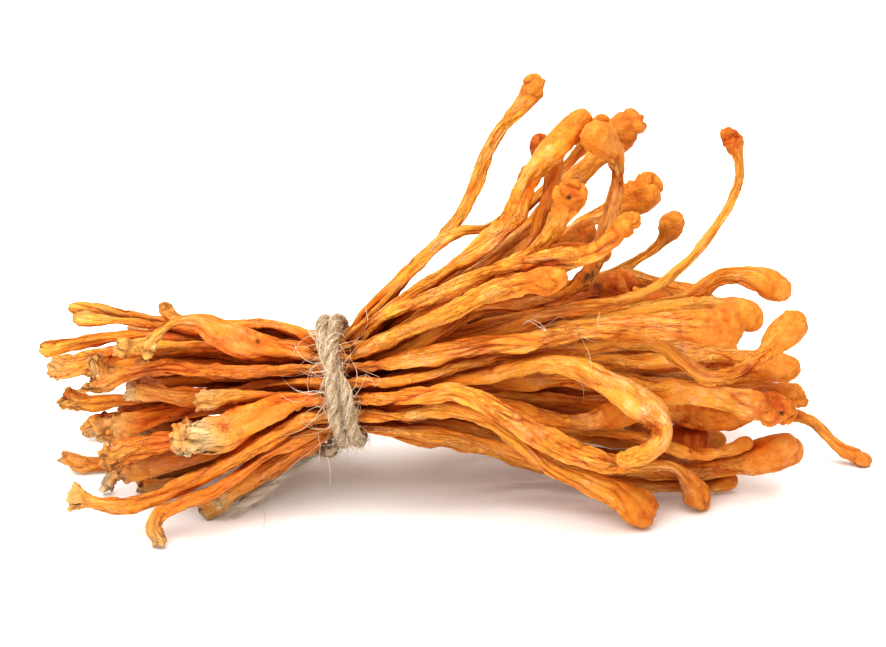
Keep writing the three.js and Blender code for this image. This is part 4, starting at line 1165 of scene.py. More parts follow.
    def _ply_radius(self, ply: int, turned: np.ndarray) -> np.ndarray:
        """The radius round a ply: a wave for each bundle, a fine noise, and less at the opened cut ends."""
        bundles = 1.0 + 0.1 * np.cos(self.lobes * turned + 1.5 * ply)
        bundles = bundles + 0.3 * self.noise.at(self._unrolled(turned, 2.2, 1.6) + 13.0 * ply)
        opened = np.exp(-self.length / self.fray_length)
        opened = opened + np.exp(-(self.length[-1] - self.length) / self.fray_length)
        return self.radius[:, None] * self.ply_share * bundles * (1.0 - 0.35 * opened)[:, None]

    def _painted_end_light(self, length: np.ndarray) -> np.ndarray:
        """Painted light: the twine paler towards its two cut ends and most at them, as its tail lies in
        shade.
        """
        return 1.0 - smoothstep(9.0, 18.0, np.minimum(length, self.length[-1] - length))

    def _on_surface(self, starts: np.ndarray, rows: int, reach: np.ndarray, lift: np.ndarray) -> np.ndarray:
        """Paths that run with the plies over the twine's outside.

        Args:
            starts: where each path starts along the twine.
            rows: points in a path.
            reach: the length of each path.
            lift: how far each stands over the surface.

        Returns:
            The paths: paths, points, places.
        """
        share = np.linspace(0.0, 1.0, rows)
        length = starts[:, None] + reach[:, None] * share[None]
        offset = self.draw.uniform(0.0, 2.0 * math.pi, len(starts))
        slant = self.draw.uniform(0.75, 1.25, len(starts))
        turn = offset[:, None] + 2.0 * math.pi * slant[:, None] * (length - starts[:, None]) / self.lay
        flat = length.ravel()
        wave = self.noise.along((length / 2.1 + offset[:, None] * 7.0).ravel(), 21.0)
        turn = turn + 0.35 * wave.reshape(length.shape)
        radius = self.at(self.radius, flat).reshape(length.shape) * 0.97 + lift[:, None]
        rows = (self.at(values, flat) for values in (self.side, self.over, self.middle))
        side, over, centre = (row.reshape(*length.shape, 3) for row in rows)
        across = side * np.cos(turn)[..., None] + over * np.sin(turn)[..., None]
        return centre + across * radius[..., None]

    def build_surface_fibres(self) -> bpy.types.Object:
        """Makes the fibres that lie on the plies and cross the grooves between them."""
        rows = 11
        starts = self.draw.uniform(0.0, self.length[-1] - 2.0, self.surface_fibres)
        reach = np.minimum(self.draw.uniform(2.0, 8.0, self.surface_fibres), self.length[-1] - starts)
        lift = self.draw.uniform(-0.08, 0.12, self.surface_fibres)
        paths = self._on_surface(starts, rows, reach, lift)
        thick = self.fibre_radius * self.draw.uniform(0.7, 1.7, self.surface_fibres)
        radii = thick[:, None] * np.sin(np.linspace(0.04, math.pi - 0.04, rows)) ** 0.4
        return self._fibre_object("twine_surface_fibres", paths, radii, starts)

    def build_short_fibres(self) -> bpy.types.Object:
        """Makes the fuzz: fibres that leave the surface slantwise and curl as they stand off."""
        count, rows = self.short_fibres, 10
        starts = self.draw.uniform(0.3, self.length[-1] - 0.5, count)
        reach = self.draw.uniform(0.5, 1.9, count) * np.where(self.draw.random(count) < 0.14, 2.4, 1.0)
        share = np.linspace(0.0, 1.0, rows)
        base = self._on_surface(starts, 2, np.full(count, 0.4), np.zeros(count))
        root = base[:, 0]
        centre = self.at(self.middle, starts)
        out = unit(root - centre)
        forward = self.at(self.forward, starts) * np.where(self.draw.random(count) < 0.5, 1.0, -1.0)[:, None]
        sideways = np.cross(out, forward)
        lean = self.draw.uniform(0.3, 1.4, count)[:, None]
        swerve = self.draw.uniform(-1.0, 1.0, count)[:, None]
        curl = self.draw.uniform(-1.0, 1.0, count)[:, None]
        heading = unit(out * 0.8 + forward * lean + sideways * swerve * 0.8)
        bend = unit(np.cross(heading, out) * curl + forward * 0.6 - out * 0.35)
        paths = root[:, None] + reach[:, None, None] * (
            heading[:, None] * share[None, :, None] + bend[:, None] * (0.55 * share**2)[None, :, None]
        )
        paths = np.concatenate([paths, self._frayed(0, rows), self._frayed(-1, rows)])
        radii = np.full(paths.shape[:2], self.fibre_radius) * (1.0 - 0.8 * share**2)[None]
        starts = np.concatenate([starts, np.repeat(self.length[[0, -1]], self.end_fibres)])
        return self._fibre_object("twine_short_fibres", paths, radii, starts)

    def _frayed(self, end: int, rows: int) -> np.ndarray:
        """Fibres that splay from a cut end of the twine.

        Args:
            end: 0 for the first end, -1 for the last.
            rows: points in a fibre.

        Returns:
            Their paths: paths, points, places.
        """
        count = self.end_fibres
        outward = self.forward[end] * (1.0 if end else -1.0)
        inner = self.draw.uniform(0.2, 2.2, count)
        turn = self.draw.uniform(0.0, 2.0 * math.pi, count)
        across = self.side[end] * np.cos(turn)[:, None] + self.over[end] * np.sin(turn)[:, None]
        off = (self.radius[end] * self.draw.uniform(0.5, 1.0, count))[:, None]
        start = self.middle[end] - outward * inner[:, None] + across * off
        way = unit(outward + across * self.draw.uniform(0.0, 0.55, count)[:, None])
        reach = (inner + self.draw.uniform(0.2, 1.7, count))[:, None, None]
        share = np.linspace(0.0, 1.0, rows)[None, :, None]
        bend = across * self.draw.uniform(-0.1, 0.35, count)[:, None]
        return start[:, None] + reach * (way[:, None] * share + bend[:, None] * share**2)

    def _fibre_object(
        self, name: str, paths: np.ndarray, radii: np.ndarray, starts: np.ndarray
    ) -> bpy.types.Object:
        """Makes one object of many fibres, each with a shade, and with the twine's painted light at its
        start.
        """
        paths = paths.copy()
        paths[..., 2] = np.maximum(paths[..., 2], self.over_floor)
        points, faces = strands(paths, radii, self.fibre_sides)
        made = new_mesh_object(name, points, faces)
        vertices = paths.shape[1] * self.fibre_sides
        set_number(made, "shade", np.repeat(self.draw.uniform(0.0, 1.0, len(paths)), vertices))
        set_number(made, "painted_end_light", np.repeat(self._painted_end_light(starts), vertices))
        return made

    def build(self, plied: bpy.types.Material, loose: bpy.types.Material) -> list[bpy.types.Object]:
        """Builds and dresses the twine.

        Args:
            plied: the material of the twisted plies.
            loose: the material of single fibres.

        Returns:
            The new pieces.
        """
        self.read_route()
        plies = self.build_plies()
        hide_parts(TWINE_NODE)
        pieces = [plies, self.build_surface_fibres(), self.build_short_fibres()]
        for made, material in zip(pieces, (plied, loose, loose)):
            made.data.materials.append(material)
            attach(made, BODY)
            log.info("%s: %d faces", made.name, len(made.data.polygons))
        return pieces


# The stray fibres that the photograph shows: where each runs, in pixels across and down.
STRAY_PATHS = (
    ((281, 377), (300, 375), (325, 364), (331, 366)),
    ((281, 377), (297, 391), (315, 394), (334, 385)),
    ((280, 395), (295, 402), (306, 400)),
    ((290, 386), (303, 392), (316, 391), (333, 398)),
    ((355, 367), (367, 372), (380, 380), (376, 386), (367, 375), (357, 377)),
    ((337, 417), (330, 427), (317, 429), (305, 425), (301, 418), (307, 411), (317, 407), (330, 410)),
    ((338, 422), (322, 429), (308, 424), (303, 416), (312, 409), (327, 403)),
    ((280, 436), (297, 432), (317, 417), (337, 405)),
    ((318, 431), (315, 420), (321, 409), (335, 399)),
    ((338, 424), (320, 432), (300, 436), (287, 438)),
    ((318, 432), (320, 446), (319, 462)),
    ((325, 447), (330, 470), (330, 484)),
    ((325, 440), (312, 450), (295, 463), (280, 477), (262, 489)),
    ((311, 470), (299, 472), (287, 471)),
    ((262, 490), (261, 505), (265, 515), (263, 530)),
    ((366, 306), (367, 325), (352, 346)),
    ((313, 326), (303, 322), (298, 328)),
    ((330, 322), (342, 316), (349, 321)),
    ((522, 326), (527, 321), (538, 326), (546, 331), (541, 324), (531, 320), (523, 325)),
    ((540, 329), (551, 322), (560, 317), (566, 320)),
    ((580, 335), (584, 343), (590, 357), (591, 367)),
    ((581, 335), (589, 340), (597, 342)),
    ((575, 381), (581, 384), (584, 400)),
    ((599, 327), (598, 320), (600, 312)),
)


@dataclass
class StrayFibres:
    """The long fibres that have come off the twine and lie on the stems round it, or hang under it.

    Each follows places in the photograph, in pixels across and down. A ray from the camera through such a
    place finds the flesh or the twine there. The fibre keeps a little over it, leaves a front stem for one
    behind no more steeply than its slope, and stays over the floor.

    Attributes:
        studio: the studio, whose camera gives the rays.
        pieces: the dressed pieces that the fibres lie on.
        more: how many fibres are drawn beside those of the photograph.
        rows: points in a fibre.
        lift: how far a fibre stands over what carries it, in millimetres.
        slope: the steepest way back, in millimetres a millimetre.
        radius: the radius of a fibre, in millimetres.
        reach: how far from the middle of the picture the pieces are searched, in millimetres.
        sides: vertices round a fibre.
        tie_top: the top of the tie in the photograph, in pixels across and down.
        tie_foot: the foot of the tie.
        shortest: the least length of a fibre drawn beside those of the photograph, in pixels.
        longest: the greatest length of one.
        spread: how far it may start off the level, in radians.
        curl: how far it may turn along its length, in radians.
    """

    studio: Studio
    pieces: list[bpy.types.Object]
    more: int = 60
    rows: int = 36
    lift: float = 0.12
    slope: float = 0.9
    radius: float = 0.03
    reach: float = 26.0
    sides: int = 4
    tie_top: tuple[float, float] = (321.0, 330.0)
    tie_foot: tuple[float, float] = (351.0, 434.0)
    shortest: float = 14.0
    longest: float = 42.0
    spread: float = 1.1
    curl: float = 1.6
    draw: np.random.Generator = field(default_factory=lambda: np.random.default_rng(311))

    def _tree(self) -> BVHTree:
        """Puts the faces of the pieces near the middle of the picture into one search tree."""
        points, faces, first = [], [], 0
        for piece in self.pieces:
            places = vertex_places(piece.data)
            near = np.abs(places[:, 0]) < self.reach
            if not near.any():
                continue
            corners = [tuple(face.vertices) for face in piece.data.polygons]
            faces += [tuple(corner + first for corner in face) for face in corners if near[face[0]]]
            points.append(places)
            first += len(places)
        return BVHTree.FromPolygons(np.vstack(points).tolist(), faces)

    def _drawn_path(self) -> np.ndarray:
        """A path for one more fibre: from the twine it curls away over the stems, two in three leftwards."""
        down = self.draw.uniform(0.0, 1.0)
        start = np.array(self.tie_top) * (1.0 - down) + np.array(self.tie_foot) * down
        way = self.draw.choice([math.pi, math.pi, 0.0]) + self.draw.uniform(-self.spread, self.spread)
        bend = self.draw.uniform(-self.curl, self.curl)
        share = np.linspace(0.0, 1.0, 5)[:, None]
        turned = way + bend * share
        size = self.draw.uniform(self.shortest, self.longest)
        return start + size * share * np.concatenate([np.cos(turned), np.sin(turned)], axis=1)

    def _laid(self, tree: BVHTree, path: np.ndarray) -> np.ndarray:
        """The path in space, in millimetres.

        Args:
            tree: the search tree of what carries the fibre.
            path: its places in the photograph.

        Returns:
            The points of the fibre.
        """
        knots = np.concatenate([[0.0], np.cumsum(np.linalg.norm(np.diff(path, axis=0), axis=1))])
        along = np.linspace(0.0, knots[-1], self.rows)
        places = through(path, knots, along) + self.draw.normal(0.0, 0.25, (self.rows, 2))
        origin, ways = self.studio.rays(places)
        hits = [tree.ray_cast(Vector(origin), Vector(way))[3] for way in ways]
        depth = np.array([math.nan if hit is None else hit for hit in hits])
        known = np.isfinite(depth)
        if not known.any():
            depth[:] = self.studio.distance / MM
            known[:] = True
        depth = np.interp(along, along[known], depth[known])
        apart = np.abs(along[:, None] - along[None]) * self.studio.pixel
        depth = (depth[None] + self.slope * apart).min(axis=1)
        for _ in range(3):
            padded = np.pad(depth, 1, mode="edge")
            depth = np.minimum(depth, 0.25 * padded[:-2] + 0.5 * padded[1:-1] + 0.25 * padded[2:])
        floor = (self.radius - origin[2]) / ways[:, 2]
        depth = np.minimum(depth - self.lift, np.where(floor > 0.0, floor, np.inf))
        return origin + ways * depth[:, None]

    def build(self, loose: bpy.types.Material) -> bpy.types.Object:
        """Builds and dresses the fibres.

        Args:
            loose: the material of single fibres.

        Returns:
            The new piece.
        """
        tree = self._tree()
        paths = [np.array(path, float) for path in STRAY_PATHS]
        paths += [self._drawn_path() for _ in range(self.more)]
        laid = np.stack([self._laid(tree, path) for path in paths])
        share = np.linspace(0.0, 1.0, self.rows)
        radii = self.radius * np.sin(np.pi * np.clip(share, 0.01, 0.99)) ** 0.25
        radii = radii[None] * self.draw.uniform(0.75, 1.3, len(laid))[:, None]
        points, faces = strands(laid, radii, self.sides)
        made = new_mesh_object("twine_stray_fibres", points, faces)
        set_number(made, "shade", np.repeat(self.draw.uniform(0.35, 1.0, len(laid)), self.rows * self.sides))
        made.data.materials.append(loose)
        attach(made, BODY)
        log.info("%s: %d faces", made.name, len(made.data.polygons))
        return made


# Finishes


def linear(colour: str) -> tuple[float, float, float, float]:
    """An sRGB hex colour as the linear colour that the shaders use."""
    parts = [int(colour[k: k + 2], 16) / 255.0 for k in (1, 3, 5)]
    turned = [part / 12.92 if part <= 0.04045 else ((part + 0.055) / 1.055) ** 2.4 for part in parts]
    return (turned[0], turned[1], turned[2], 1.0)


class Grain(NamedTuple):
    """A kind of noise in a material.

    Attributes:
        sizes: the sizes of its features: two across the grain and one along it.
        detail: how many finer layers it has.
        rough: how strong each finer layer is beside the one before.
    """

    sizes: tuple[float, float, float]
    detail: float = 3.0
    rough: float = 0.55


Sockets = dict[str, bpy.types.NodeSocket]


class Tree:
    """The node tree of a new material."""

    def __init__(self, name: str) -> None:
        """Args: name: the material's name."""
        self.material = bpy.data.materials.new(name)
        self.material.use_nodes = True
        self.nodes = self.material.node_tree.nodes
        self.links = self.material.node_tree.links
        self.shader = self.nodes["Principled BSDF"]

    def add(
        self, kind: str, inputs: dict | tuple = (), output: int | str = 0, **settings: object
    ) -> bpy.types.NodeSocket:
        """Adds a node, sets it, and fills or links its inputs.

        Args:
            kind: the node's type name, without the leading ShaderNode.
            inputs: values, or the sockets that they come from: in order, or by an input's name or number.
            output: the name or number of the output that is wanted.
            settings: the node's own properties; for a ramp, stops holds its places and hex colours.

        Returns:
            That output.
        """
        node = self.nodes.new("ShaderNode" + kind)
        stops = settings.pop("stops", [])
        for key, value in settings.items():
            setattr(node, key, value)
        for _ in stops[2:]:
            node.color_ramp.elements.new(0.5)
        for number, (place, colour) in enumerate(stops):
            node.color_ramp.elements[number].position = place
            node.color_ramp.elements[number].color = linear(colour)
        self.fill(node, inputs if isinstance(inputs, dict) else dict(enumerate(inputs)))
        return node.outputs[output]

    def fill(self, node: bpy.types.Node, inputs: dict) -> None:
        """Sets inputs of a node to values or hex colours, or links them from sockets."""
        for key, value in inputs.items():
            if isinstance(value, bpy.types.NodeSocket):
                self.links.new(value, node.inputs[key])
            else:
                node.inputs[key].default_value = linear(value) if isinstance(value, str) else value

    def cover(self, colour: object, over: object, *shares: object) -> bpy.types.NodeSocket:
        """A colour with another over it, as far as the product of the shares says.

        Args:
            colour: the colour below, a socket or a hex colour.
            over: the one that covers it.
            shares: one or more values or sockets, each from 0 to 1.

        Returns:
            The mixed colour.
        """
        share = shares[0]
        for other in shares[1:]:
            share = self.add("Math", (share, other), operation="MULTIPLY")
        return self.add("Mix", {0: share, 6: colour, 7: over}, 2, data_type="RGBA")

    def grained(self, place: bpy.types.NodeSocket, kind: Grain) -> bpy.types.NodeSocket:
        """The noise of a grain at a place.

        Args:
            place: the place, in the grain's own unit.
            kind: the grain, whose sizes the place is divided by.

        Returns:
            A value that is a half on the average.
        """
        scaled = self.add("Mapping", {"Vector": place, "Scale": tuple(1.0 / size for size in kind.sizes)})
        inputs = {"Vector": scaled, "Scale": 1.0, "Detail": kind.detail, "Roughness": kind.rough}
        return self.add("TexNoise", inputs, "Fac")

    def lines(self, value: bpy.types.NodeSocket, width: float, most: float) -> bpy.types.NodeSocket:
        """Lines where a noise crosses a half.

        Args:
            value: the noise.
            width: how far off a half the noise is at the edge of a line.
            most: the value in the middle of a line.

        Returns:
            The most in the middle, falling evenly to 0 at the edge.
        """
        off = self.add("Math", (value, 0.5), operation="SUBTRACT")
        off = self.add("Math", (off,), operation="ABSOLUTE")
        return self.add("MapRange", (off, 0.0, width, most, 0.0))


@dataclass(frozen=True)
class DriedFlesh:
    """Air-dried flesh of Cordyceps militaris: chitin and starch coloured by carotenoids, shrunk as it dried.

    To the eye it is matt to satin, yellow on the crests, with rusty stains on the clubs and a cream to
    grey-olive crust of grain and mycelium at the cut end. Its furrows, creases, cracks and hollows, and the
    skin deep inside the bunch, are painted deep orange to red brown: painted shade. Light passes a little
    way into it.

    Attributes:
        inner: painted shade on skin deep inside the bunch, and the colour of the darkened bodies.
        deep: painted shade in creases and cracks.
        valley: painted shade in furrows and on skin that faces little of the room; also the darker stretch
            near the cut base.
        shade: the dark mottling of a stem.
        flesh: the flesh between.
        crest: its pale mottling.
        club: the dark mottling of a club.
        rust: bruises and rusty stains.
        speck: brown specks.
        straw: the edge of the crust.
        cream: the crust.
        olive: its grey-olive spots.
        hollow: painted shade in pits, crevices, the sunken cut face and the gaps in the crust.
        stain: dark stains.
        roughness: the middle roughness of a stem.
        ior: the index of refraction.
        bump_depth: what the full height of the fine relief stands for, in metres.
        subsurface: the share of light that goes under the surface.
        subsurface_reach: how far red, green and blue go there, beside each other.
        subsurface_scale: how far that is, in metres.
    """

    inner: str = "#922404"
    deep: str = "#AA3602"
    valley: str = "#DA5400"
    shade: str = "#DE8E26"
    flesh: str = "#E3A242"
    crest: str = "#EEBE8A"
    club: str = "#D07A1C"
    rust: str = "#B4500F"
    speck: str = "#8A5418"
    straw: str = "#DDA25A"
    cream: str = "#E0CAA0"
    olive: str = "#A08A5E"
    hollow: str = "#502810"
    stain: str = "#6E4C2C"
    roughness: float = 0.56
    ior: float = 1.5
    bump_depth: float = 0.00032
    subsurface: float = 0.08
    subsurface_reach: tuple[float, float, float] = (1.0, 0.38, 0.12)
    subsurface_scale: float = 0.0006

    # The noises that its colours and its fine relief follow, in millimetres.
    streaks: Grain = Grain((0.2, 0.2, 5.0), rough=0.6)
    clouds: Grain = Grain((2.0, 2.0, 5.0))
    mottling: Grain = Grain((0.5, 0.5, 0.9), 4.0, 0.65)
    blots: Grain = Grain((0.9, 0.9, 1.2))
    dots: Grain = Grain((0.16, 0.16, 0.3), 2.0)
    dot_patches: Grain = Grain((1.5, 1.5, 3.0), 1.0)
    wide_cracks: Grain = Grain((0.8, 0.8, 4.5), 2.0)
    narrow_cracks: Grain = Grain((0.42, 0.42, 1.6), 2.0)
    crack_patches: Grain = Grain((2.0, 2.0, 6.0), 1.0)
    spots: Grain = Grain((0.5, 0.5, 0.6), 4.0, 0.65)
    tears: Grain = Grain((0.45, 0.45, 0.8), 4.0, 0.6)
    dull_patches: Grain = Grain((0.8, 0.8, 2.5))
    wrinkles: Grain = Grain((0.3, 0.3, 1.4), 4.0, 0.65)
    grit: Grain = Grain((0.17, 0.17, 0.22), 3.0, 0.6)

    # The numbers that the skins hold at each vertex.
    READ = (
        "relief", "crease", "club", "crust", "cavity", "dark", "openness", "base_stretch", "bruise", "greyness",
        "tone", "scar", "stain", "rust", "pit",
    )

    def make(self) -> bpy.types.Material:
        """Makes the material."""
        tree = Tree("air_dried_cordyceps_flesh")
        skin = {name: tree.add("Attribute", (), "Fac", attribute_name=name) for name in self.READ}
        skin["grain"] = tree.add("Attribute", (), "Vector", attribute_name="grain")
        inputs = {
            "Base Color": self._colour(tree, skin),
            "IOR": self.ior,
            "Roughness": self._roughness(tree, skin),
            "Normal": self._bump(tree, skin),
            # Less specular where the skin faces little of the room: painted shade on its reflections.
            "Specular IOR Level": tree.add("MapRange", (skin["openness"], 0.2, 0.8, 0.02, 0.24)),
            "Subsurface Weight": self.subsurface,
            "Subsurface Radius": self.subsurface_reach,
            "Subsurface Scale": self.subsurface_scale,
        }
        tree.fill(tree.shader, inputs)
        return tree.material

    def _colour(self, tree: Tree, skin: Sockets) -> bpy.types.NodeSocket:
        """Mottled orange with painted shade in relief and cracks; then the marks, the crust and inner painted
        shade.
        """
        mottle = tree.grained(skin["grain"], self.mottling)
        torn = tree.add("MapRange", (mottle, 0.42, 0.56))
        blots = tree.add("MapRange", (tree.grained(skin["grain"], self.blots), 0.38, 0.62, 0.15, 1.0))
        lines = tree.add("Math", (skin["crease"], self._cracks(tree, skin)), operation="MAXIMUM")
        covers = [
            # Painted shade: darker in the furrows.
            (self.valley, skin["relief"], 0.35),
            # Darker along the stretch near the cut base.
            (self.valley, skin["base_stretch"], 0.35),
            # Painted shade: darker in the creases and cracks.
            (self.deep, lines, 0.62),
            (self.rust, skin["bruise"], blots),
            (self.speck, self._specks(tree, skin), 0.6),
            (self.rust, skin["rust"], blots),
            (self.cream, skin["scar"], torn),
            (self.stain, skin["stain"], torn),
            # Painted shade in the pits.
            (self.hollow, skin["pit"]),
        ]
        colour = self._flesh(tree, skin, mottle)
        for over, *shares in covers:
            colour = tree.cover(colour, over, *shares)
        colour = self._crusted(tree, skin, colour)
        # Painted shade: darker and redder where the skin faces little of the room, and on the darkened
        # bodies.
        shaded = tree.add("MapRange", (skin["openness"], 0.25, 0.7, 0.4, 0.0))
        deepest = tree.add("MapRange", (skin["openness"], 0.05, 0.4, 0.8, 0.0))
        colour = tree.cover(colour, self.valley, shaded)
        colour = tree.cover(colour, self.inner, deepest)
        colour = tree.cover(colour, self.inner, skin["dark"], 0.5)
        # Tone: a random lightness for most bodies; set high on the upper bodies, it is painted light.
        changes = {
            "Color": colour,
            "Hue": tree.add("MapRange", (skin["tone"], 0.0, 1.0, 0.498, 0.503)),
            "Value": tree.add("MapRange", (skin["tone"], 0.0, 1.0, 0.93, 1.04)),
        }
        return tree.add("HueSaturation", changes)

    def _flesh(self, tree: Tree, skin: Sockets, mottle: bpy.types.NodeSocket) -> bpy.types.NodeSocket:
        """Bare flesh: a ramp over the sum of streaks, mottling and clouds, and on the club mottling alone."""
        height = tree.add("Math", (mottle, 0.35), operation="MULTIPLY")
        for kind, share in ((self.streaks, 0.25), (self.clouds, 0.4)):
            noise = tree.grained(skin["grain"], kind)
            height = tree.add("Math", (noise, share, height), operation="MULTIPLY_ADD")
        stops = [(0.33, self.shade), (0.5, self.flesh), (0.68, self.crest)]
        stem = tree.add("ValToRGB", (height,), stops=stops)
        club = tree.cover(self.club, self.flesh, tree.add("MapRange", (mottle, 0.4, 0.66, 0.0, 0.6)))
        return tree.cover(stem, club, skin["club"], 0.75)

    def _specks(self, tree: Tree, skin: Sockets) -> bpy.types.NodeSocket:
        """Where the specks are: a fine noise over a level, in patches, and over most of the darker stretch
        near the base.
        """
        dots = tree.add("MapRange", (tree.grained(skin["grain"], self.dots), 0.64, 0.72))
        patches = tree.add("MapRange", (tree.grained(skin["grain"], self.dot_patches), 0.45, 0.65))
        base_stretch = tree.add("MapRange", (skin["base_stretch"], 0.5, 1.0, 0.0, 0.9))
        where = tree.add("Math", (patches, base_stretch), operation="MAXIMUM")
        return tree.add("Math", (dots, where), operation="MULTIPLY")

    def _cracks(self, tree: Tree, skin: Sockets) -> bpy.types.NodeSocket:
        """Fine cracks along the grain at two sizes, where a noise crosses its middle, in patches."""
        wide = tree.lines(tree.grained(skin["grain"], self.wide_cracks), 0.045, 1.0)
        narrow = tree.lines(tree.grained(skin["grain"], self.narrow_cracks), 0.05, 0.85)
        patches = tree.grained(skin["grain"], self.crack_patches)
        patches = tree.add("MapRange", (patches, 0.38, 0.62, 0.15, 1.0))
        both = tree.add("Math", (wide, narrow), operation="MAXIMUM")
        both = tree.add("Math", (both, patches), operation="MULTIPLY")
        bare = tree.add("Math", (skin["club"], -0.35, 0.7), operation="MULTIPLY_ADD")
        return tree.add("Math", (both, bare), operation="MULTIPLY")

    def _crusted(self, tree: Tree, skin: Sockets, colour: bpy.types.NodeSocket) -> bpy.types.NodeSocket:
        """The cut end: straw yellow, then cream with grey-olive and brown spots where the crust is thick."""
        crust = skin["crust"]
        spots = tree.grained(skin["grain"], self.spots)
        olive = tree.add("MapRange", (spots, 0.42, 0.6))
        brown = tree.add("MapRange", (spots, 0.62, 0.7, 0.0, 0.7))
        grown = tree.cover(self.cream, self.olive, olive, skin["greyness"])
        grown = tree.cover(grown, self.speck, brown)
        pale = tree.cover(colour, self.straw, tree.add("MapRange", (crust, 0.03, 0.35)))
        pale = tree.cover(pale, grown, tree.add("MapRange", (crust, 0.3, 0.75, 0.0, 0.92)))
        thick = tree.add("MapRange", (crust, 0.15, 0.5))
        gaps = tree.lines(tree.grained(skin["grain"], self.tears), 0.025, 0.5)
        gaps = tree.add("Math", (gaps, thick), operation="MULTIPLY")
        # Painted shade: the crevices, the sunken cut face and the gaps in the crust darker.
        hollows = tree.add("Math", (skin["cavity"], 0.85), operation="MULTIPLY")
        hollows = tree.add("Math", (hollows, gaps), operation="MAXIMUM")
        return tree.cover(pale, self.hollow, hollows)

    def _roughness(self, tree: Tree, skin: Sockets) -> bpy.types.NodeSocket:
        """Satin clubs, matt stems and a dull crust."""
        rough = tree.grained(skin["grain"], self.dull_patches)
        rough = tree.add("MapRange", (rough, 0.3, 0.7, self.roughness - 0.08, self.roughness + 0.12))
        rough = tree.add("Math", (skin["club"], -0.1, rough), operation="MULTIPLY_ADD")
        return tree.add("Math", (skin["crust"], 0.3, rough), operation="MULTIPLY_ADD")

    def _bump(self, tree: Tree, skin: Sockets) -> bpy.types.NodeSocket:
        """Fine wrinkles and cracks along the stem, and grit a sixth of a millimetre across on the club."""
        grit = tree.grained(skin["grain"], self.grit)
        stem = tree.grained(skin["grain"], self.wrinkles)
        stem = tree.add("Math", (grit, 0.45, stem), operation="MULTIPLY_ADD")
        stem = tree.add("Math", (self._cracks(tree, skin), -0.8, stem), operation="MULTIPLY_ADD")
        club = tree.add("Math", (grit, 1.1), operation="MULTIPLY")
        share = tree.add("Math", (skin["club"], 0.75), operation="MULTIPLY")
        height = tree.add("Mix", {0: share, 2: stem, 3: club}, data_type="FLOAT")
        return tree.add("Bump", {"Height": height, "Strength": 1.0, "Distance": self.bump_depth})


@dataclass(frozen=True)
class PliedJute:
    """Unbleached jute, spun and laid in three plies: dull straw with painted shade in its grooves, and paler
    fibres.
    """

    # The ramp follows the bump's height: painted shade in its grooves, painted highlight on its bundles.
    shadow: str = "#8A6E50"
    fibre: str = "#C9AF8B"
    light: str = "#F0E0C6"
    # Painted light: the colour below paints the twine paler towards its cut ends, as the tail lies in shade.
    clean: str = "#FFF4E6"
    brown_fibre: str = "#A58A68"
    pale_fibre: str = "#F7EEDD"
    end_light_most: float = 0.8
    roughness: float = 0.85
    fibre_roughness: float = 0.7
    bump_depth: float = 0.0003
    bundles: Grain = Grain((0.2, 0.2, 3.0), rough=0.7)

    def make(self) -> bpy.types.Material:
        """Makes the material of the plies."""
        tree = Tree("laid_jute_plies")
        grain = tree.add("Attribute", (), "Vector", attribute_name="grain")
        painted_end_light = tree.add("Attribute", (), "Fac", attribute_name="painted_end_light")
        strand = tree.grained(grain, self.bundles)
        # Painted shade in the grooves of the bump and painted highlight on its bundles.
        stops = [(0.36, self.shadow), (0.5, self.fibre), (0.62, self.light)]
        colour = tree.add("ValToRGB", (strand,), stops=stops)
        # Painted light: paler towards the cut ends, where the tail lies in shade.
        colour = tree.cover(colour, self.clean, painted_end_light, self.end_light_most)
        bump = tree.add("Bump", {"Height": strand, "Strength": 1.0, "Distance": self.bump_depth})
        tree.fill(tree.shader, {"Base Color": colour, "Roughness": self.roughness, "Normal": bump})
        return tree.material

    def make_loose(self) -> bpy.types.Material:
        """Makes the material of single fibres, each with a shade of its own."""
        tree = Tree("loose_jute_fibres")
        shade = tree.add("Attribute", (), "Fac", attribute_name="shade")
        painted_end_light = tree.add("Attribute", (), "Fac", attribute_name="painted_end_light")
        stops = [(0.0, self.brown_fibre), (0.45, self.fibre), (1.0, self.pale_fibre)]
        colour = tree.add("ValToRGB", (shade,), stops=stops)
        # Painted light: paler towards the twine's cut ends, where the tail lies in shade.
        colour = tree.cover(colour, self.clean, painted_end_light, self.end_light_most)
        tree.fill(tree.shader, {"Base Color": colour, "Roughness": self.fibre_roughness})
        return tree.material


@dataclass(frozen=True)
class PaperSweep:
    """Matt white paper, the studio surface under the bunch."""

    white: str = "#FBFAF8"
    brightest: str = "#FFFFFF"
    roughness: float = 0.9

    # Here the sizes are in metres, because the floor's own places are.
    felting: Grain = Grain((0.004, 0.004, 0.004), 2.0)

    def make(self) -> bpy.types.Material:
        """Makes the material."""
        tree = Tree("matt_white_paper")
        felt = tree.grained(tree.add("TexCoord", (), "Object"), self.felting)
        colour = tree.cover(self.white, self.brightest, felt)
        tree.fill(tree.shader, {"Base Color": colour, "Roughness": self.roughness})
        return tree.material


# Studio


class SoftBox(NamedTuple):
    """A square area light that faces the bunch.

    Attributes:
        name: its name.
        place: where its middle is, in metres.
        size: the length of a side, in metres.
        power: its power in watts.
    """

    name: str
    place: tuple[float, float, float]
    size: float
    power: float


SOFT_BOXES = (
    SoftBox("soft_box_above", (-0.1, -0.14, 0.6), 0.8, 8.6),
    SoftBox("soft_box_front", (-0.3, -0.6, 0.35), 0.5, 1.4),
)


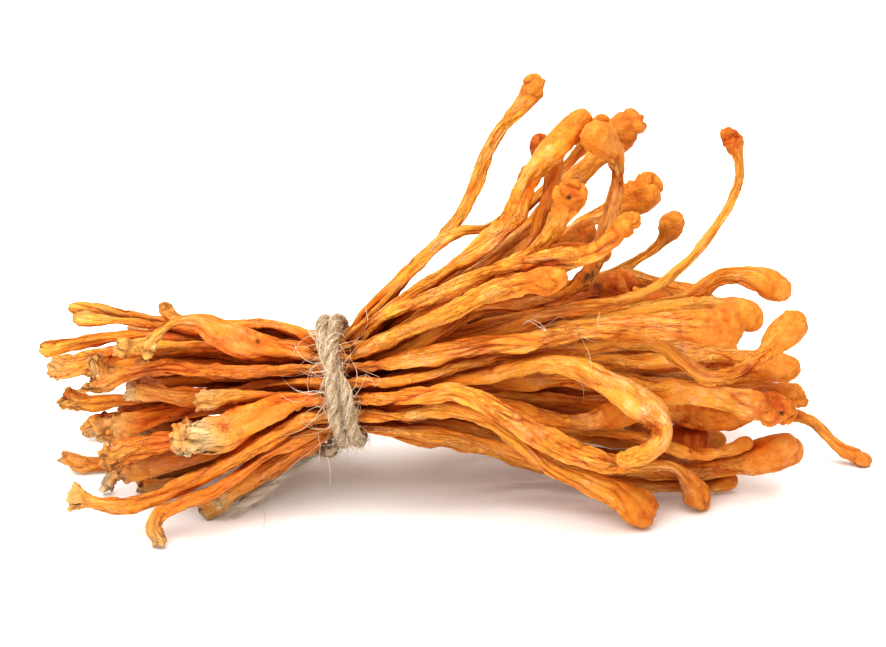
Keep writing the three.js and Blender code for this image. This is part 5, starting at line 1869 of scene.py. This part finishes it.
@dataclass
class Studio:
    """The pale floor, the soft lights and the camera at the photograph's viewing angle.

    Attributes:
        target: the point that the camera looks at, in metres.
        distance: metres from the camera to that point.
        elevation: degrees that the camera looks down.
        lens: the focal length on the sensor.
        sensor: the width of the sensor in millimetres.
        width: the width of the photograph in pixels.
        height: the height of the photograph in pixels.
        floor_size: the length of a side of the floor, in metres.
        floor_drop: how far the floor is under the bunch, in millimetres.
        room_colour: the colour of the surroundings.
        room_strength: how bright they are.
        gamma: what the picture's brightness is raised by.
    """

    target: tuple[float, float, float] = (-0.0027264, -0.0042803, 0.0230)
    distance: float = 0.307
    elevation: float = 22.0
    lens: float = 99.79
    sensor: float = 36.0
    width: int = 886
    height: int = 647
    floor_size: float = 3.0
    floor_drop: float = 0.02
    room_colour: tuple[float, float, float, float] = (1.0, 0.93, 0.86, 1.0)
    room_strength: float = 0.77
    gamma: float = 0.83

    @property
    def pixel(self) -> float:
        """The size of a pixel of the photograph at the target, in millimetres."""
        return self.distance / MM * self.sensor / self.lens / self.width

    def rays(self, places: np.ndarray) -> tuple[np.ndarray, np.ndarray]:
        """The camera's place, and the ways from it through places in the photograph.

        Args:
            places: pixels across and down, one row each.

        Returns:
            The camera's place in millimetres, and unit vectors, one row each.
        """
        tilt = math.radians(self.elevation)
        forward = np.array([0.0, math.cos(tilt), -math.sin(tilt)])
        upward = np.array([0.0, math.sin(tilt), math.cos(tilt)])
        scale = self.sensor / self.lens / self.width
        across = (places[:, :1] - 0.5 * self.width) * scale
        up = (0.5 * self.height - places[:, 1:]) * scale
        ways = unit(forward + across * np.array([1.0, 0.0, 0.0]) + up * upward)
        return np.array(self.target) / MM - forward * self.distance / MM, ways

    def build(self) -> None:
        """Sets up the whole studio."""
        self._floor()
        self._camera()
        for box in SOFT_BOXES:
            self._soft_box(box)
        self._room()
        bpy.context.scene.view_settings.view_transform = "Standard"
        bpy.context.scene.view_settings.gamma = self.gamma

    def _floor(self) -> None:
        """A flat sheet just under the bunch."""
        half = self.floor_size / 2.0 / MM
        flat = [(-half, -half), (half, -half), (half, half), (-half, half)]
        corners = np.array([(x, y, -self.floor_drop) for x, y in flat])
        floor = new_mesh_object("paper_sweep", corners, [np.array([[0, 1, 2, 3]])])
        floor.data.materials.append(PaperSweep().make())

    def _camera(self) -> None:
        """A camera that looks along +Y and down."""
        tilt = math.radians(self.elevation)
        data = bpy.data.cameras.new("camera")
        data.lens = self.lens
        data.sensor_width = self.sensor
        data.dof.use_dof = False
        camera = bpy.data.objects.new("camera", data)
        back = Vector((0.0, -math.cos(tilt), math.sin(tilt))) * self.distance
        camera.location = Vector(self.target) + back
        camera.rotation_euler = (math.pi / 2.0 - tilt, 0.0, 0.0)
        bpy.context.scene.collection.objects.link(camera)
        bpy.context.scene.camera = camera

    def _room(self) -> None:
        """Warm white surroundings on all sides."""
        world = bpy.data.worlds.new("white_room")
        world.use_nodes = True
        background = world.node_tree.nodes["Background"]
        background.inputs["Color"].default_value = self.room_colour
        background.inputs["Strength"].default_value = self.room_strength
        bpy.context.scene.world = world

    def _soft_box(self, box: SoftBox) -> None:
        """Hangs one soft box and turns it to the bunch."""
        data = bpy.data.lights.new(box.name, "AREA")
        data.size = box.size
        data.energy = box.power
        light = bpy.data.objects.new(box.name, data)
        light.location = box.place
        light.rotation_euler = (Vector(self.target) - Vector(box.place)).to_track_quat("-Z", "Y").to_euler()
        bpy.context.scene.collection.objects.link(light)


def main() -> None:
    """Builds the bunch, its twine and the studio."""
    studio = Studio()
    studio.build()
    bodies = Bunch(studio).build(DriedFlesh().make())
    jute = PliedJute()
    loose = jute.make_loose()
    twine = Twine().build(jute.make(), loose)
    StrayFibres(studio, bodies + twine[:1]).build(loose)


if __name__ == "__main__":
    main()
